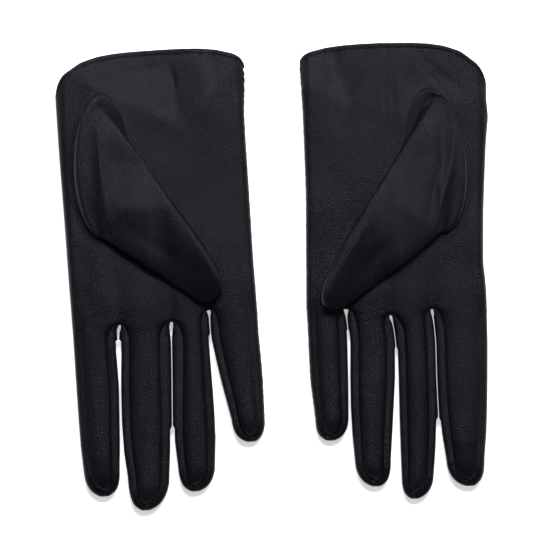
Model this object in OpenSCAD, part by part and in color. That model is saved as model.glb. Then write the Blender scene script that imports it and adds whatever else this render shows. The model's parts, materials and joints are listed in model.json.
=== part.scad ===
// Pair of short wrist-length dress gloves, laid flat with the palms up and the thumbs folded over.
// Each glove is cut and sewn: a folded trank, a set-in thumb, fourchettes between the fingers,
// a turned-in hem and a smoother patch on the index fingertip.
// All sizes are in millimetres. A glove's own frame has its cuff towards +Y and its thumb at -X.

/* [Fabric] */
// Thickness of the satin knit
fabric_t = 0.7; // [0.5:0.05:1]
// Thickness of the doubled hem on the inside of the cuff
hem_t = 0.6; // [0.4:0.05:1]
// Thickness of the index fingertip patch
patch_t = 0.4; // [0.3:0.05:0.8]
// Gap left where two moving pieces meet
joint_gap = 0.5; // [0.4:0.05:1]

/* [Loft] */
// Outer height of the hand as it lies with air in it
hand_h = 10; // [8:0.5:14]
// Outer height of a finger
finger_h = 8.6; // [7:0.1:9.5]
// Outer height of the folded thumb
thumb_h = 7; // [6:0.5:9]
// Air between the palm and the thumb that lies on it
thumb_lift = 0.4; // [0.3:0.1:1]

/* [Cuff] */
// Depth of the turned-in hem
hem_d = 8; // [6:0.5:12]
// Sharpness of the cuff's rounded corners
cuff_round = 3.2; // [2:0.1:5]

/* [Finger joints] */
// Share of each finger that lies above its middle joint
base_share = 0.36; // [0.3:0.01:0.5]
// Half width of a fourchette as a share of the half circle round a finger's side
fourchette_share = 0.33; // [0.2:0.01:0.42]

/* [Right glove] */
// Where the right glove lies: x, y
right_at = [-50.18, -25.70];
// How far the right glove is turned
right_turn = 4; // [-10:0.5:10]
// Height of the right glove's knuckle line in its own frame
right_knuckle_y = 4; // [0:0.5:12]
// Hand of the right glove from fingers to cuff: share of length, centre, width
right_hand_rows = [[0, -1.5, 90.7], [0.25, -1.7, 90.6], [0.5, -1.6, 91], [0.8, -1.7, 91.4], [1, -0.8, 93.2]];
// Cuff of the right glove: highest point, drop on the thumb side, drop on the little-finger side
right_cuff = [136.8, 20, 10];
// Index of the right glove: y, centre, width in rows
right_index = [[10, -35.9, 21.8], [-5, -36.6, 20.4], [-24, -36.5, 20.8], [-52, -37.2, 19.4], [-66, -37.4, 17.6]];
// Middle finger of the right glove
right_middle = [[10, -11.5, 25.4], [-5, -12.1, 22.6], [-24, -13.3, 23.4], [-52, -14.5, 23.6], [-70, -14.7, 20.4]];
// Ring finger of the right glove
right_ring = [[10, 10.9, 17.9], [-5, 11.4, 15.4], [-24, 10.7, 17.4], [-50, 9.3, 20.6], [-66, 9, 18.2]];
// Little finger of the right glove
right_little = [[10, 32.2, 23.3], [-5, 32.1, 23.2], [-24, 33.8, 21], [-46, 35.7, 16.2]];
// Fingertips of the right glove: y and sideways lean, from index to little finger
right_tips = [[-79.3, 0.6], [-87.5, -2.4], [-79.9, -1.4], [-57.6, 0.7]];
// Oval that the right thumb is set into: centre x, y, half width, half length, turn
right_oval = [-26.9, 81.5, 13.7, 35.4, -3];
// Line that the right thumb turns about: x at the level of the palm
right_thumb_x = -42.3; // [-46:0.1:-30]
// Right thumb from its fold to its tip: lower edge, upper edge, share of the full height
right_thumb_rows = [
    [[-40.4, 64], [-40, 102], 0.35], [[-37, 57.5], [-34.5, 111], 0.7],
    [[-31, 50], [-26, 111.5], 0.95], [[-24, 43.8], [-19, 102.5], 1],
    [[-15, 37.5], [-10.5, 86.5], 1], [[-8.5, 33], [-2, 73.5], 1],
    [[-1.5, 27.9], [8, 58.2], 1], [[5, 21.9], [16.5, 46.6], 1],
    [[11.6, 16.2], [24, 34], 0.95], [[16.6, 12.6], [27.8, 23.5], 0.8],
    [[19.8, 11.9], [27.6, 17.8], 0.55], [[22.3, 12], [26.4, 14.9], 0.36]];

/* [Left glove] */
// Where the left glove lies: x, y
left_at = [61.62, -24.70];
// How far the left glove is turned
left_turn = 0.8; // [-10:0.1:10]
// Height of the left glove's knuckle line in its own frame
left_knuckle_y = 6; // [0:0.5:12]
// Hand of the left glove from fingers to cuff: share of length, centre, width
left_hand_rows = [[0, 0.2, 88.2], [0.25, 1, 86.4], [0.5, 0.6, 86.6], [0.8, 0.3, 89], [1, 0.2, 91.6]];
// Cuff of the left glove: highest point, drop on the thumb side, drop on the little-finger side
left_cuff = [138.9, 24, 8];
// Index of the left glove: y, centre, width in rows
left_index = [[10, -30.4, 26.4], [-5, -31.4, 25], [-24, -31.3, 24.6], [-48, -31.7, 22.6], [-64, -32.2, 18.8]];
// Middle finger of the left glove
left_middle = [[10, -6.6, 20], [-5, -8.8, 18], [-24, -9.2, 18], [-50, -9.4, 18], [-72, -8.8, 15.6]];
// Ring finger of the left glove
left_ring = [[10, 14.5, 20.8], [-5, 12.3, 21.6], [-24, 12.5, 21.8], [-46, 13.1, 20.4], [-64, 13, 17.6]];
// Little finger of the left glove
left_little = [[10, 35, 18.4], [-5, 34.2, 19], [-24, 33.8, 18.6], [-44, 32.7, 16.2]];
// Fingertips of the left glove: y and sideways lean, from index to little finger
left_tips = [[-78, -1.8], [-83.9, 1.6], [-77.6, -1.6], [-54.9, 0.8]];
// Oval that the left thumb is set into: centre x, y, half width, half length, turn
left_oval = [-19.6, 81, 15, 35.6, -6];
// Line that the left thumb turns about: x at the level of the palm
left_thumb_x = -36; // [-42:0.1:-28]
// Left thumb from its fold to its tip: lower edge, upper edge, share of the full height
left_thumb_rows = [
    [[-34, 68], [-33.4, 101], 0.35], [[-31, 60], [-28, 110], 0.7],
    [[-25, 51.5], [-20, 113], 0.95], [[-17.5, 43.5], [-12, 99.5], 1],
    [[-8, 34.8], [-2.5, 83], 1], [[0, 29.3], [6.4, 69], 1],
    [[8, 23.3], [16, 57.4], 1], [[15, 18.1], [24.5, 45.2], 1],
    [[21.8, 13.1], [31.4, 30], 0.95], [[27.4, 9.3], [35.9, 22], 0.8],
    [[30.6, 8.2], [37.2, 16.4], 0.55], [[33.4, 8.6], [36.8, 12.2], 0.36]];

/* [Colours] */
// Satin knit
fabric_colour = [0.13, 0.12, 0.15];
// Satin knit on the back of the hand, for telling the panels apart
back_colour = [0.10, 0.09, 0.12];
// Fourchettes
fourchette_colour = [0.17, 0.16, 0.20];
// Seam allowances and hem
seam_colour = [0.07, 0.07, 0.09];
// Index fingertip patch
patch_colour = [0.22, 0.21, 0.24];

/* [Hidden] */
right = [right_at, right_turn, right_hand_rows, right_cuff, [right_index, right_middle, right_ring, right_little],
    right_tips, right_oval, right_thumb_rows, right_knuckle_y];
left = [left_at, left_turn, left_hand_rows, left_cuff, [left_index, left_middle, left_ring, left_little],
    left_tips, left_oval, left_thumb_rows, left_knuckle_y];
half_gap = joint_gap / 2;
hand_r = hand_h / 2;
thumb_z = hand_h + thumb_lift;

// ---- helpers ----

function lerp(a, b, t) = a + (b - a) * t;

// A value read off rows of [key, value, ...], where the key falls or rises along the rows.
function along(rows, key, col) = lookup(key, [for (r = rows) [r[0], r[col]]]);

// One point of a flattened tube's section, as [across, height]. The place p runs round it:
// 0 to 1 the right half circle from below, 1 to 2 the top, 2 to 3 the left half circle, 3 to 4 the bottom.
function tube_point(w, h, mid, p, inset) =
    let (q = p - 4 * floor(p / 4), r = min(w, h) / 2, flat = w / 2 - r, s = r - inset)
    q <= 1 ? [flat + s * cos(180 * q - 90), mid + s * sin(180 * q - 90)]
    : q <= 2 ? [lerp(flat, -flat, q - 1), mid + s]
    : q <= 3 ? [-flat + s * cos(180 * q - 270), mid + s * sin(180 * q - 270)]
    : [lerp(-flat, flat, q - 3), mid - s];

// Places from a to b in n steps, without the last.
function steps(a, b, n) = [for (k = [0 : n - 1]) lerp(a, b, k / n)];

// A thin skin between an outer and an inner grid of points. A closed one joins its last column to its first.
module skin(outer, inner, closed = false) {
    m = len(outer);
    n = len(outer[0]);
    last = closed ? n : n - 1;
    function at(side, i, j) = side * m * n + i * n + (j % n);
    quads = concat(
        [for (i = [0 : m - 2], j = [0 : last - 1])
            [at(0, i, j), at(0, i, j + 1), at(0, i + 1, j + 1), at(0, i + 1, j)]],
        [for (i = [0 : m - 2], j = [0 : last - 1])
            [at(1, i, j), at(1, i + 1, j), at(1, i + 1, j + 1), at(1, i, j + 1)]],
        [for (j = [0 : last - 1]) [at(0, 0, j), at(1, 0, j), at(1, 0, j + 1), at(0, 0, j + 1)]],
        [for (j = [0 : last - 1]) [at(0, m - 1, j), at(0, m - 1, j + 1), at(1, m - 1, j + 1), at(1, m - 1, j)]],
        closed ? [] : [for (i = [0 : m - 2]) [at(0, i, 0), at(0, i + 1, 0), at(1, i + 1, 0), at(1, i, 0)]],
        closed ? [] : [for (i = [0 : m - 2])
            [at(0, i, n - 1), at(1, i, n - 1), at(1, i + 1, n - 1), at(0, i + 1, n - 1)]]);
    polyhedron(
        points = concat([for (r = outer) each r], [for (r = inner) each r]),
        faces = [for (q = quads) each [[q[0], q[1], q[2]], [q[0], q[2], q[3]]]],
        convexity = 6);
}

// ---- hand ----

// How far the cuff's edge falls below its highest point, a share s of the half width from the middle.
function cuff_y(cuff, s) =
    cuff[0] - (s < 0 ? cuff[1] : cuff[2]) * (1 - sqrt(max(0, 1 - pow(min(1, abs(s)), cuff_round))));

// A point of the hand at share v of its length from the knuckle line and place p round it.
function hand_point(g, v, p, inset) =
    let (w = along(g[2], v, 2), c = along(g[2], v, 1), q = tube_point(w, hand_h, hand_r, p, inset),
         low = g[8] + half_gap, high = cuff_y(g[3], q[0] * 2 / w))
    [c + q[0], lerp(low, high, v), q[1]];

hand_shares = [1, 0.985, 0.955, 0.9, 0.82, 0.72, 0.6, 0.48, 0.36, 0.24, 0.12, 0];

module oval(o, grow) {
    translate([o[0], o[1]]) rotate(o[4])
        polygon([for (k = [0 : 35]) [(o[2] + grow) * cos(10 * k), (o[3] + grow) * sin(10 * k)]]);
}

// Outline of a flat half of the trank, between the places where its two sides start to turn over.
module flat_outline(g, from, to) {
    trim = 0.05;
    last = len(hand_shares) - 1;
    edge = concat(
        [for (v = hand_shares) hand_point(g, v, from, 0)],
        [for (k = [1 : 9]) hand_point(g, 0, lerp(from, to, k / 10), 0)],
        [for (k = [last : -1 : 0]) hand_point(g, hand_shares[k], to, 0)],
        [for (k = [1 : 9]) hand_point(g, 1, lerp(to, from, k / 10), 0)]);
    c = along(g[2], 0.5, 1);
    polygon([for (e = edge) [e[0] + (e[0] > c ? -trim : trim), e[1]]]);
}

// Palm half of the trank, with the oval hole that the thumb is set into.
module palm_panel(g) {
    color(fabric_colour) translate([0, 0, hand_h - fabric_t]) linear_extrude(fabric_t) difference() {
        flat_outline(g, 1, 2);
        oval(g[6], 0);
    }
}

// Back half of the trank, the flat sheet that the glove lies on.
module back_panel(g) {
    color(back_colour) linear_extrude(fabric_t) flat_outline(g, 0, -1);
}

// One long side of the hand, where the trank turns over from the palm to the back.
module side_fold(g, from) {
    places = [for (k = [0 : 8]) from + k / 8];
    color(fabric_colour)
        skin([for (v = hand_shares) [for (p = places) hand_point(g, v, p, 0)]],
             [for (v = hand_shares) [for (p = places) hand_point(g, v, p, fabric_t)]]);
}

// Hem turned in at the cuff, a band that lines the mouth all round.
module cuff_hem(g) {
    places = concat(steps(0, 1, 4), steps(1, 2, 8), steps(2, 3, 4), steps(3, 4, 8));
    length = g[3][0] - g[8];
    shares = [1, 1 - 0.5 * hem_d / length, 1 - hem_d / length];
    color(seam_colour)
        skin([for (v = shares) [for (p = places) hand_point(g, v, p, fabric_t + 0.06)]],
             [for (v = shares) [for (p = places) hand_point(g, v, p, fabric_t + hem_t)]], closed = true);
}

// Seam allowance round the thumb's oval, on the inside of the palm.
module thumb_seam(g) {
    color(seam_colour) translate([0, 0, hand_h - fabric_t - 0.65]) linear_extrude(0.6) difference() {
        oval(g[6], 1.6);
        oval(g[6], -0.4);
    }
}

// ---- thumb ----

function thumb_ring(row, places, inset, slide) =
    let (a = row[0], b = row[1], w = norm(b - a), d = (b - a) / w, h = thumb_h * row[2])
    [for (p = places) let (q = tube_point(w, h, thumb_z + h / 2, p, inset), m = (a + b) / 2 + d * q[0] + slide)
        [m[0], m[1], q[1]]];

// How far the underside closes at each row: open over the oval, then closed along a seam in the middle.
thumb_closing = [0.04, 0.04, 0.05, 0.06, 0.16, 0.49];

function thumb_places(i) =
    let (e = thumb_closing[min(i, len(thumb_closing) - 1)])
    concat(steps(-e, 0, 2), steps(0, 1, 5), steps(1, 2, 4), steps(2, 3, 5), steps(3, 3 + e, 2), [3 + e]);

// Thumb stall, folded over the palm, open underneath where it is set into the oval.
module thumb(g) {
    rows = g[7];
    last = len(rows) - 1;
    mid = [for (r = rows) (r[0] + r[1]) / 2];
    run = mid[last] - mid[last - 2];
    back = -run / norm(run) * fabric_t;
    color(fabric_colour)
        skin([for (i = [0 : last]) thumb_ring(rows[i], thumb_places(i), 0, [0, 0])],
             [for (i = [0 : last]) thumb_ring(rows[i], thumb_places(i),
                 min(fabric_t, thumb_h * rows[i][2] * 0.45), i == last ? back : [0, 0])]);
}

// ---- fingers ----

function middle_y(tip, knuckle) = lerp(knuckle, tip[0], base_share);

// How far round the fingertip height y is: 0 before it, near 1 at its end.
function tip_share(f, tip, y) =
    let (stop = f[len(f) - 1][0])
    y < stop ? pow((stop - y) / (stop - tip[0]), 2) : 0;

// Section of finger f at height y, as [centre, width, height, middle level].
function finger_section(f, tip, y) =
    let (stop = f[len(f) - 1][0], s = y < stop ? min(1, (stop - y) / (stop - tip[0])) : 0,
         w = along(f, max(y, stop), 2) * pow(max(0.0001, 1 - pow(s, 2.3)), 1 / 2.3),
         h = finger_h * pow(max(0.0001, 1 - pow(s, 2.8)), 1 / 2.2))
    [along(f, max(y, stop), 1) + tip[1] * s * s, max(w, 4.4), max(h, 2.6), finger_h / 2 - 0.7 * s * s];

// A fourchette narrows to a point at the fingertip.
function fork_share(f, tip, y) =
    let (stop = f[len(f) - 1][0] - 1)
    y > stop ? fourchette_share : fourchette_share * max(0.36, 1 - (stop - y) / (stop - tip[0]) * 1.05);

function base_ys(tip, knuckle) =
    [for (t = [0, 0.2, 0.45, 0.7, 1]) lerp(knuckle - half_gap, middle_y(tip, knuckle) + half_gap, t)];

function tip_ys(f, tip, knuckle) =
    let (a = middle_y(tip, knuckle) - half_gap, b = f[len(f) - 1][0])
    concat([for (t = [0, 0.35, 0.7, 1]) lerp(a, b, t)],
           [for (s = [0.3, 0.55, 0.75, 0.88, 0.96, 0.995]) lerp(b, tip[0], s)]);

// Places of each kind of strip, for a fourchette half width k.
function fork_right(k) = [for (t = [0 : 4]) lerp(0.5 - k, 0.5 + k, t / 4)];
function fork_left(k) = [for (t = [0 : 4]) lerp(2.5 - k, 2.5 + k, t / 4)];
function top_strip(k) = concat(steps(0.5 + k, 1, 2), steps(1, 2, 3), steps(2, 2.5 - k, 2), [2.5 - k]);
function bottom_strip(k) = concat(steps(2.5 + k, 3, 2), steps(3, 4, 3), steps(4, 4.5 - k, 2), [4.5 - k]);
function wrap_left(k) = concat(steps(0.5 + k, 1, 2), steps(1, 2, 3), steps(2, 3, 6), steps(3, 4, 3),
    steps(4, 4.5 - k, 2), [4.5 - k]);
function wrap_right(k) = concat(steps(2.5 + k, 3, 2), steps(3, 4, 3), steps(4, 5, 6), steps(5, 6, 3),
    steps(6, 6.5 - k, 2), [6.5 - k]);
function places_of(kind, k) = kind == "fork_right" ? fork_right(k) : kind == "fork_left" ? fork_left(k)
    : kind == "top" ? top_strip(k) : kind == "bottom" ? bottom_strip(k)
    : kind == "wrap_left" ? wrap_left(k) : wrap_right(k);

// Nothing touches along a seam: each strip stops a hair short of its neighbour.
function hair(kind) = kind == "fork_right" || kind == "fork_left" ? -0.006 : 0.006;

function finger_ring(f, tip, y, kind, inset, slide) =
    let (s = finger_section(f, tip, y), k = fork_share(f, tip, y) + hair(kind))
    [for (p = places_of(kind, k)) let (q = tube_point(s[1], s[2], s[3], p, min(inset, s[2] * 0.45)))
        [s[0] + q[0], y + slide * tip_share(f, tip, y), q[1]]];

module finger_strip(g, n, ys, kind) {
    f = g[4][n];
    tip = g[5][n];
    skin([for (y = ys) finger_ring(f, tip, y, kind, 0, 0)],
         [for (y = ys) finger_ring(f, tip, y, kind, fabric_t, fabric_t)]);
}

module trank_base(g, n, kind) {
    color(fabric_colour) finger_strip(g, n, base_ys(g[5][n], g[8]), kind);
}

module trank_tip(g, n, kind) {
    color(fabric_colour) finger_strip(g, n, tip_ys(g[4][n], g[5][n], g[8]), kind);
}

module fork_base(g, n, kind) {
    color(fourchette_colour) finger_strip(g, n, base_ys(g[5][n], g[8]), kind);
}

module fork_tip(g, n, kind) {
    color(fourchette_colour) finger_strip(g, n, tip_ys(g[4][n], g[5][n], g[8]), kind);
}

module fork_pair(g, n) {
    fork_tip(g, n, "fork_left");
    fork_tip(g, n, "fork_right");
}

// Patch of smoother touch fabric over the pad of the index fingertip.
module touch_patch(g) {
    f = g[4][0];
    tip = g[5][0];
    start = f[len(f) - 1][0] + 7;
    places = concat(steps(0.88, 1, 1), steps(1, 2, 4), steps(2, 2.12, 1), [2.12]);
    ys = concat([start, start - 3.5], [for (s = [0, 0.3, 0.55, 0.75, 0.88]) lerp(f[len(f) - 1][0], tip[0], s)]);
    function ring(y, inset) =
        let (s = finger_section(f, tip, y))
        [for (p = places) let (q = tube_point(s[1], s[2], s[3], p, inset)) [s[0] + q[0], y, q[1]]];
    color(patch_colour)
        skin([for (y = ys) ring(y, -patch_t - 0.05)], [for (y = ys) ring(y, -0.05)]);
}

// ---- placing ----

module on_right() {
    translate([right[0][0], right[0][1], 0]) rotate(right[1]) children();
}

module on_left() {
    translate([left[0][0], left[0][1], 0]) rotate(left[1]) mirror([1, 0, 0]) children();
}

module right_palm_panel() { on_right() palm_panel(right); }
module right_back_panel() { on_right() back_panel(right); }
module right_thumb_side_fold() { on_right() side_fold(right, 2); }
module right_outer_side_fold() { on_right() side_fold(right, 0); }
module right_cuff_hem() { on_right() cuff_hem(right); }
module right_thumb_seam() { on_right() thumb_seam(right); }
module right_thumb() { on_right() thumb(right); }
module right_index_base() { on_right() trank_base(right, 0, "wrap_left"); }
module right_index_base_fourchette() { on_right() fork_base(right, 0, "fork_right"); }
module right_index_tip() { on_right() trank_tip(right, 0, "wrap_left"); }
module right_index_tip_fourchette() { on_right() fork_tip(right, 0, "fork_right"); }
module right_touch_patch() { on_right() touch_patch(right); }
module right_middle_base_palm() { on_right() trank_base(right, 1, "top"); }
module right_middle_base_back() { on_right() trank_base(right, 1, "bottom"); }
module right_middle_base_fourchette_a() { on_right() fork_base(right, 1, "fork_left"); }
module right_middle_base_fourchette_b() { on_right() fork_base(right, 1, "fork_right"); }
module right_middle_tip_palm() { on_right() trank_tip(right, 1, "top"); }
module right_middle_tip_back() { on_right() trank_tip(right, 1, "bottom"); }
module right_middle_tip_fourchettes() { on_right() fork_pair(right, 1); }
module right_ring_base_palm() { on_right() trank_base(right, 2, "top"); }
module right_ring_base_back() { on_right() trank_base(right, 2, "bottom"); }
module right_ring_base_fourchette_a() { on_right() fork_base(right, 2, "fork_left"); }
module right_ring_base_fourchette_b() { on_right() fork_base(right, 2, "fork_right"); }
module right_ring_tip_palm() { on_right() trank_tip(right, 2, "top"); }
module right_ring_tip_back() { on_right() trank_tip(right, 2, "bottom"); }
module right_ring_tip_fourchettes() { on_right() fork_pair(right, 2); }
module right_little_base() { on_right() trank_base(right, 3, "wrap_right"); }
module right_little_base_fourchette() { on_right() fork_base(right, 3, "fork_left"); }
module right_little_tip() { on_right() trank_tip(right, 3, "wrap_right"); }
module right_little_tip_fourchette() { on_right() fork_tip(right, 3, "fork_left"); }
module left_palm_panel() { on_left() palm_panel(left); }
module left_back_panel() { on_left() back_panel(left); }
module left_thumb_side_fold() { on_left() side_fold(left, 2); }
module left_outer_side_fold() { on_left() side_fold(left, 0); }
module left_cuff_hem() { on_left() cuff_hem(left); }
module left_thumb_seam() { on_left() thumb_seam(left); }
module left_thumb() { on_left() thumb(left); }
module left_index_base() { on_left() trank_base(left, 0, "wrap_left"); }
module left_index_base_fourchette() { on_left() fork_base(left, 0, "fork_right"); }
module left_index_tip() { on_left() trank_tip(left, 0, "wrap_left"); }
module left_index_tip_fourchette() { on_left() fork_tip(left, 0, "fork_right"); }
module left_touch_patch() { on_left() touch_patch(left); }
module left_middle_base_palm() { on_left() trank_base(left, 1, "top"); }
module left_middle_base_back() { on_left() trank_base(left, 1, "bottom"); }
module left_middle_base_fourchette_a() { on_left() fork_base(left, 1, "fork_left"); }
module left_middle_base_fourchette_b() { on_left() fork_base(left, 1, "fork_right"); }
module left_middle_tip_palm() { on_left() trank_tip(left, 1, "top"); }
module left_middle_tip_back() { on_left() trank_tip(left, 1, "bottom"); }
module left_middle_tip_fourchettes() { on_left() fork_pair(left, 1); }
module left_ring_base_palm() { on_left() trank_base(left, 2, "top"); }
module left_ring_base_back() { on_left() trank_base(left, 2, "bottom"); }
module left_ring_base_fourchette_a() { on_left() fork_base(left, 2, "fork_left"); }
module left_ring_base_fourchette_b() { on_left() fork_base(left, 2, "fork_right"); }
module left_ring_tip_palm() { on_left() trank_tip(left, 2, "top"); }
module left_ring_tip_back() { on_left() trank_tip(left, 2, "bottom"); }
module left_ring_tip_fourchettes() { on_left() fork_pair(left, 2); }
module left_little_base() { on_left() trank_base(left, 3, "wrap_right"); }
module left_little_base_fourchette() { on_left() fork_base(left, 3, "fork_left"); }
module left_little_tip() { on_left() trank_tip(left, 3, "wrap_right"); }
module left_little_tip_fourchette() { on_left() fork_tip(left, 3, "fork_left"); }

right_palm_panel();
right_back_panel();
right_thumb_side_fold();
right_outer_side_fold();
right_cuff_hem();
right_thumb_seam();
right_thumb();
right_index_base();
right_index_base_fourchette();
right_index_tip();
right_index_tip_fourchette();
right_touch_patch();
right_middle_base_palm();
right_middle_base_back();
right_middle_base_fourchette_a();
right_middle_base_fourchette_b();
right_middle_tip_palm();
right_middle_tip_back();
right_middle_tip_fourchettes();
right_ring_base_palm();
right_ring_base_back();
right_ring_base_fourchette_a();
right_ring_base_fourchette_b();
right_ring_tip_palm();
right_ring_tip_back();
right_ring_tip_fourchettes();
right_little_base();
right_little_base_fourchette();
right_little_tip();
right_little_tip_fourchette();
left_palm_panel();
left_back_panel();
left_thumb_side_fold();
left_outer_side_fold();
left_cuff_hem();
left_thumb_seam();
left_thumb();
left_index_base();
left_index_base_fourchette();
left_index_tip();
left_index_tip_fourchette();
left_touch_patch();
left_middle_base_palm();
left_middle_base_back();
left_middle_base_fourchette_a();
left_middle_base_fourchette_b();
left_middle_tip_palm();
left_middle_tip_back();
left_middle_tip_fourchettes();
left_ring_base_palm();
left_ring_base_back();
left_ring_base_fourchette_a();
left_ring_base_fourchette_b();
left_ring_tip_palm();
left_ring_tip_back();
left_ring_tip_fourchettes();
left_little_base();
left_little_base_fourchette();
left_little_tip();
left_little_tip_fourchette();
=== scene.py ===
# %% [markdown]
# # A pair of short satin dress gloves
# Each glove is cut from a thin satin knit: a folded trank for the palm and back, a thumb stall set
# into an oval, and fourchettes between the fingers. The pair lies on its back with the thumbs folded
# over the palms. The CAD frame gives every outline and every joint; this file gives the cloth.

# %% The frame
import json
import math

import bmesh
import bpy
import numpy as np
from mathutils import Matrix, Vector, geometry
from mathutils.bvhtree import BVHTree
from mathutils.kdtree import KDTree

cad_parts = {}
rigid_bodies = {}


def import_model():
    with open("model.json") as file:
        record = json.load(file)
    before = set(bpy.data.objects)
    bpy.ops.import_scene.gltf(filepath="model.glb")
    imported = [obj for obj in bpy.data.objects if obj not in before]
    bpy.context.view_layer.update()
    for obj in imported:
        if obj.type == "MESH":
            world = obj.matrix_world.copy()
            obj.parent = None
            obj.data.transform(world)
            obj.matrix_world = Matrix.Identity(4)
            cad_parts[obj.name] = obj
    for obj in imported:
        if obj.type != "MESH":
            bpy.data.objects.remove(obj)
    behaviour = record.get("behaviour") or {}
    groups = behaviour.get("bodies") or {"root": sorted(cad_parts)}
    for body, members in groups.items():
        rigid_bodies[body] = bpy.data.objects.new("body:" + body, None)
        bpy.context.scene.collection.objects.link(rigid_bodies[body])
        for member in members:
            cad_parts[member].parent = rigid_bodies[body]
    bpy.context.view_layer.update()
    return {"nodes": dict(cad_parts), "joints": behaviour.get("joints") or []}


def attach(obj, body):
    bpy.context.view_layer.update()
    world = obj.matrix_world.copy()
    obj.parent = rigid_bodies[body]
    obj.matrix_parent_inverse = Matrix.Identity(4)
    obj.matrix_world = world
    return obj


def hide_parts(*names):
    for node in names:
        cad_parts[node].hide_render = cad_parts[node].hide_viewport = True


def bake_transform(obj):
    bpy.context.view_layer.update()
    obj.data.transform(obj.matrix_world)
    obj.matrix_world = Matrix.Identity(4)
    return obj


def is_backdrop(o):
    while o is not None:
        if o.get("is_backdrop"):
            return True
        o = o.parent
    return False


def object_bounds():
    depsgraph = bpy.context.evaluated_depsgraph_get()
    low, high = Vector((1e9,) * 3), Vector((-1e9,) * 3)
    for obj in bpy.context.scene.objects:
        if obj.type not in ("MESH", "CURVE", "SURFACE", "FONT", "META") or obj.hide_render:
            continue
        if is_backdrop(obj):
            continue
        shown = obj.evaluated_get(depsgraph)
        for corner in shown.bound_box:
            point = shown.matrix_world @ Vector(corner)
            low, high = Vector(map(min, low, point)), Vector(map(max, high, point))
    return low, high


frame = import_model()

MM = 0.001
SIDES = ("right", "left")
FINGERS = ("index", "middle", "ring", "little")
JOINTS = {joint["name"]: joint for joint in frame["joints"]}

# %% [markdown]
# ## A ruler for each glove
# A pattern cutter measures a glove in its own directions: across the hand from the thumb side, and
# along it towards the cuff. The thumb's hinge fixes that ruler in the frame, so every later number is
# in millimetres on the glove, whichever way it lies. The left-hand glove is the mirror image, and its
# ruler simply runs the other way across.

# %% Rulers
THUMB_HINGE_AT = {"right": (-42.3, 81.5), "left": (-36.0, 81.0)}


class Ruler:
    """Turns points between a glove's own millimetres and the frame's metres."""

    def __init__(self, side):
        knuckle = Vector(JOINTS[f"{side}_middle_knuckle"]["axis"])
        self.across = -knuckle if side == "right" else knuckle.copy()
        self.along = Vector((0, 0, 1)).cross(-knuckle)
        hinge = Vector(JOINTS[f"{side}_thumb_swing"]["pos_m"])
        hinge.z = 0
        x, y = THUMB_HINGE_AT[side]
        self.origin = hinge - self.across * x * MM - self.along * y * MM
        self.turn = np.array([self.across, self.along, Vector((0, 0, 1))])

    def frame_from(self, points):
        return np.asarray(points, float) * MM @ self.turn + np.array(self.origin)

    def own_from(self, points):
        return (np.asarray(points, float) - np.array(self.origin)) @ self.turn.T / MM

    def point(self, x, y, z=0.0):
        return Vector(self.frame_from([(x, y, z)])[0])


RULER = {side: Ruler(side) for side in SIDES}


def joint_y(side, joint):
    return RULER[side].own_from([JOINTS[f"{side}_{joint}"]["pos_m"]])[0][1]


for side in SIDES:
    print(side, "knuckle line at", round(joint_y(side, "middle_knuckle"), 2), "mm")

# %% [markdown]
# ## Outlines from the CAD solids
# A dressmaker would trace each finger to get its outline. Here the CAD solids are sliced: every mesh
# edge that crosses a line gives a point, and the outermost two are the outline there. Slicing edges
# is safer than picking vertices, because the solids have few of them.

# %% Slices
def cad_edges(side, nodes):
    """Both ends of every edge of these CAD nodes, in the glove's own millimetres."""
    starts, ends = [], []
    for node in nodes:
        mesh = frame["nodes"][f"{side}_{node}"].data
        points = RULER[side].own_from([v.co for v in mesh.vertices])
        pairs = np.array([tuple(e.vertices) for e in mesh.edges])
        starts.append(points[pairs[:, 0]])
        ends.append(points[pairs[:, 1]])
    return np.concatenate(starts), np.concatenate(ends)


def outline(edges, places, axis):
    """Rows of (place, lowest, highest) of the other direction, where the solids cross each place."""
    a, b = edges
    rows = []
    for place in places:
        da = a[:, axis] - place
        db = b[:, axis] - place
        hit = (da * db <= 0) & (np.abs(da - db) > 1e-6)
        if hit.any():
            share = da[hit] / (da[hit] - db[hit])
            other = a[hit, 1 - axis] + share * (b[hit, 1 - axis] - a[hit, 1 - axis])
            rows.append((place, other.min(), other.max()))
    return np.array(rows)


print("slicing tools ready")

# %% [markdown]
# ## Tracing the fingers, the hand and the cuff
# Each finger is traced from its tip to the knuckles. The outer edge of the index and little finger
# runs on into the hand, so the first slices of the hand are joined to it there.

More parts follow.
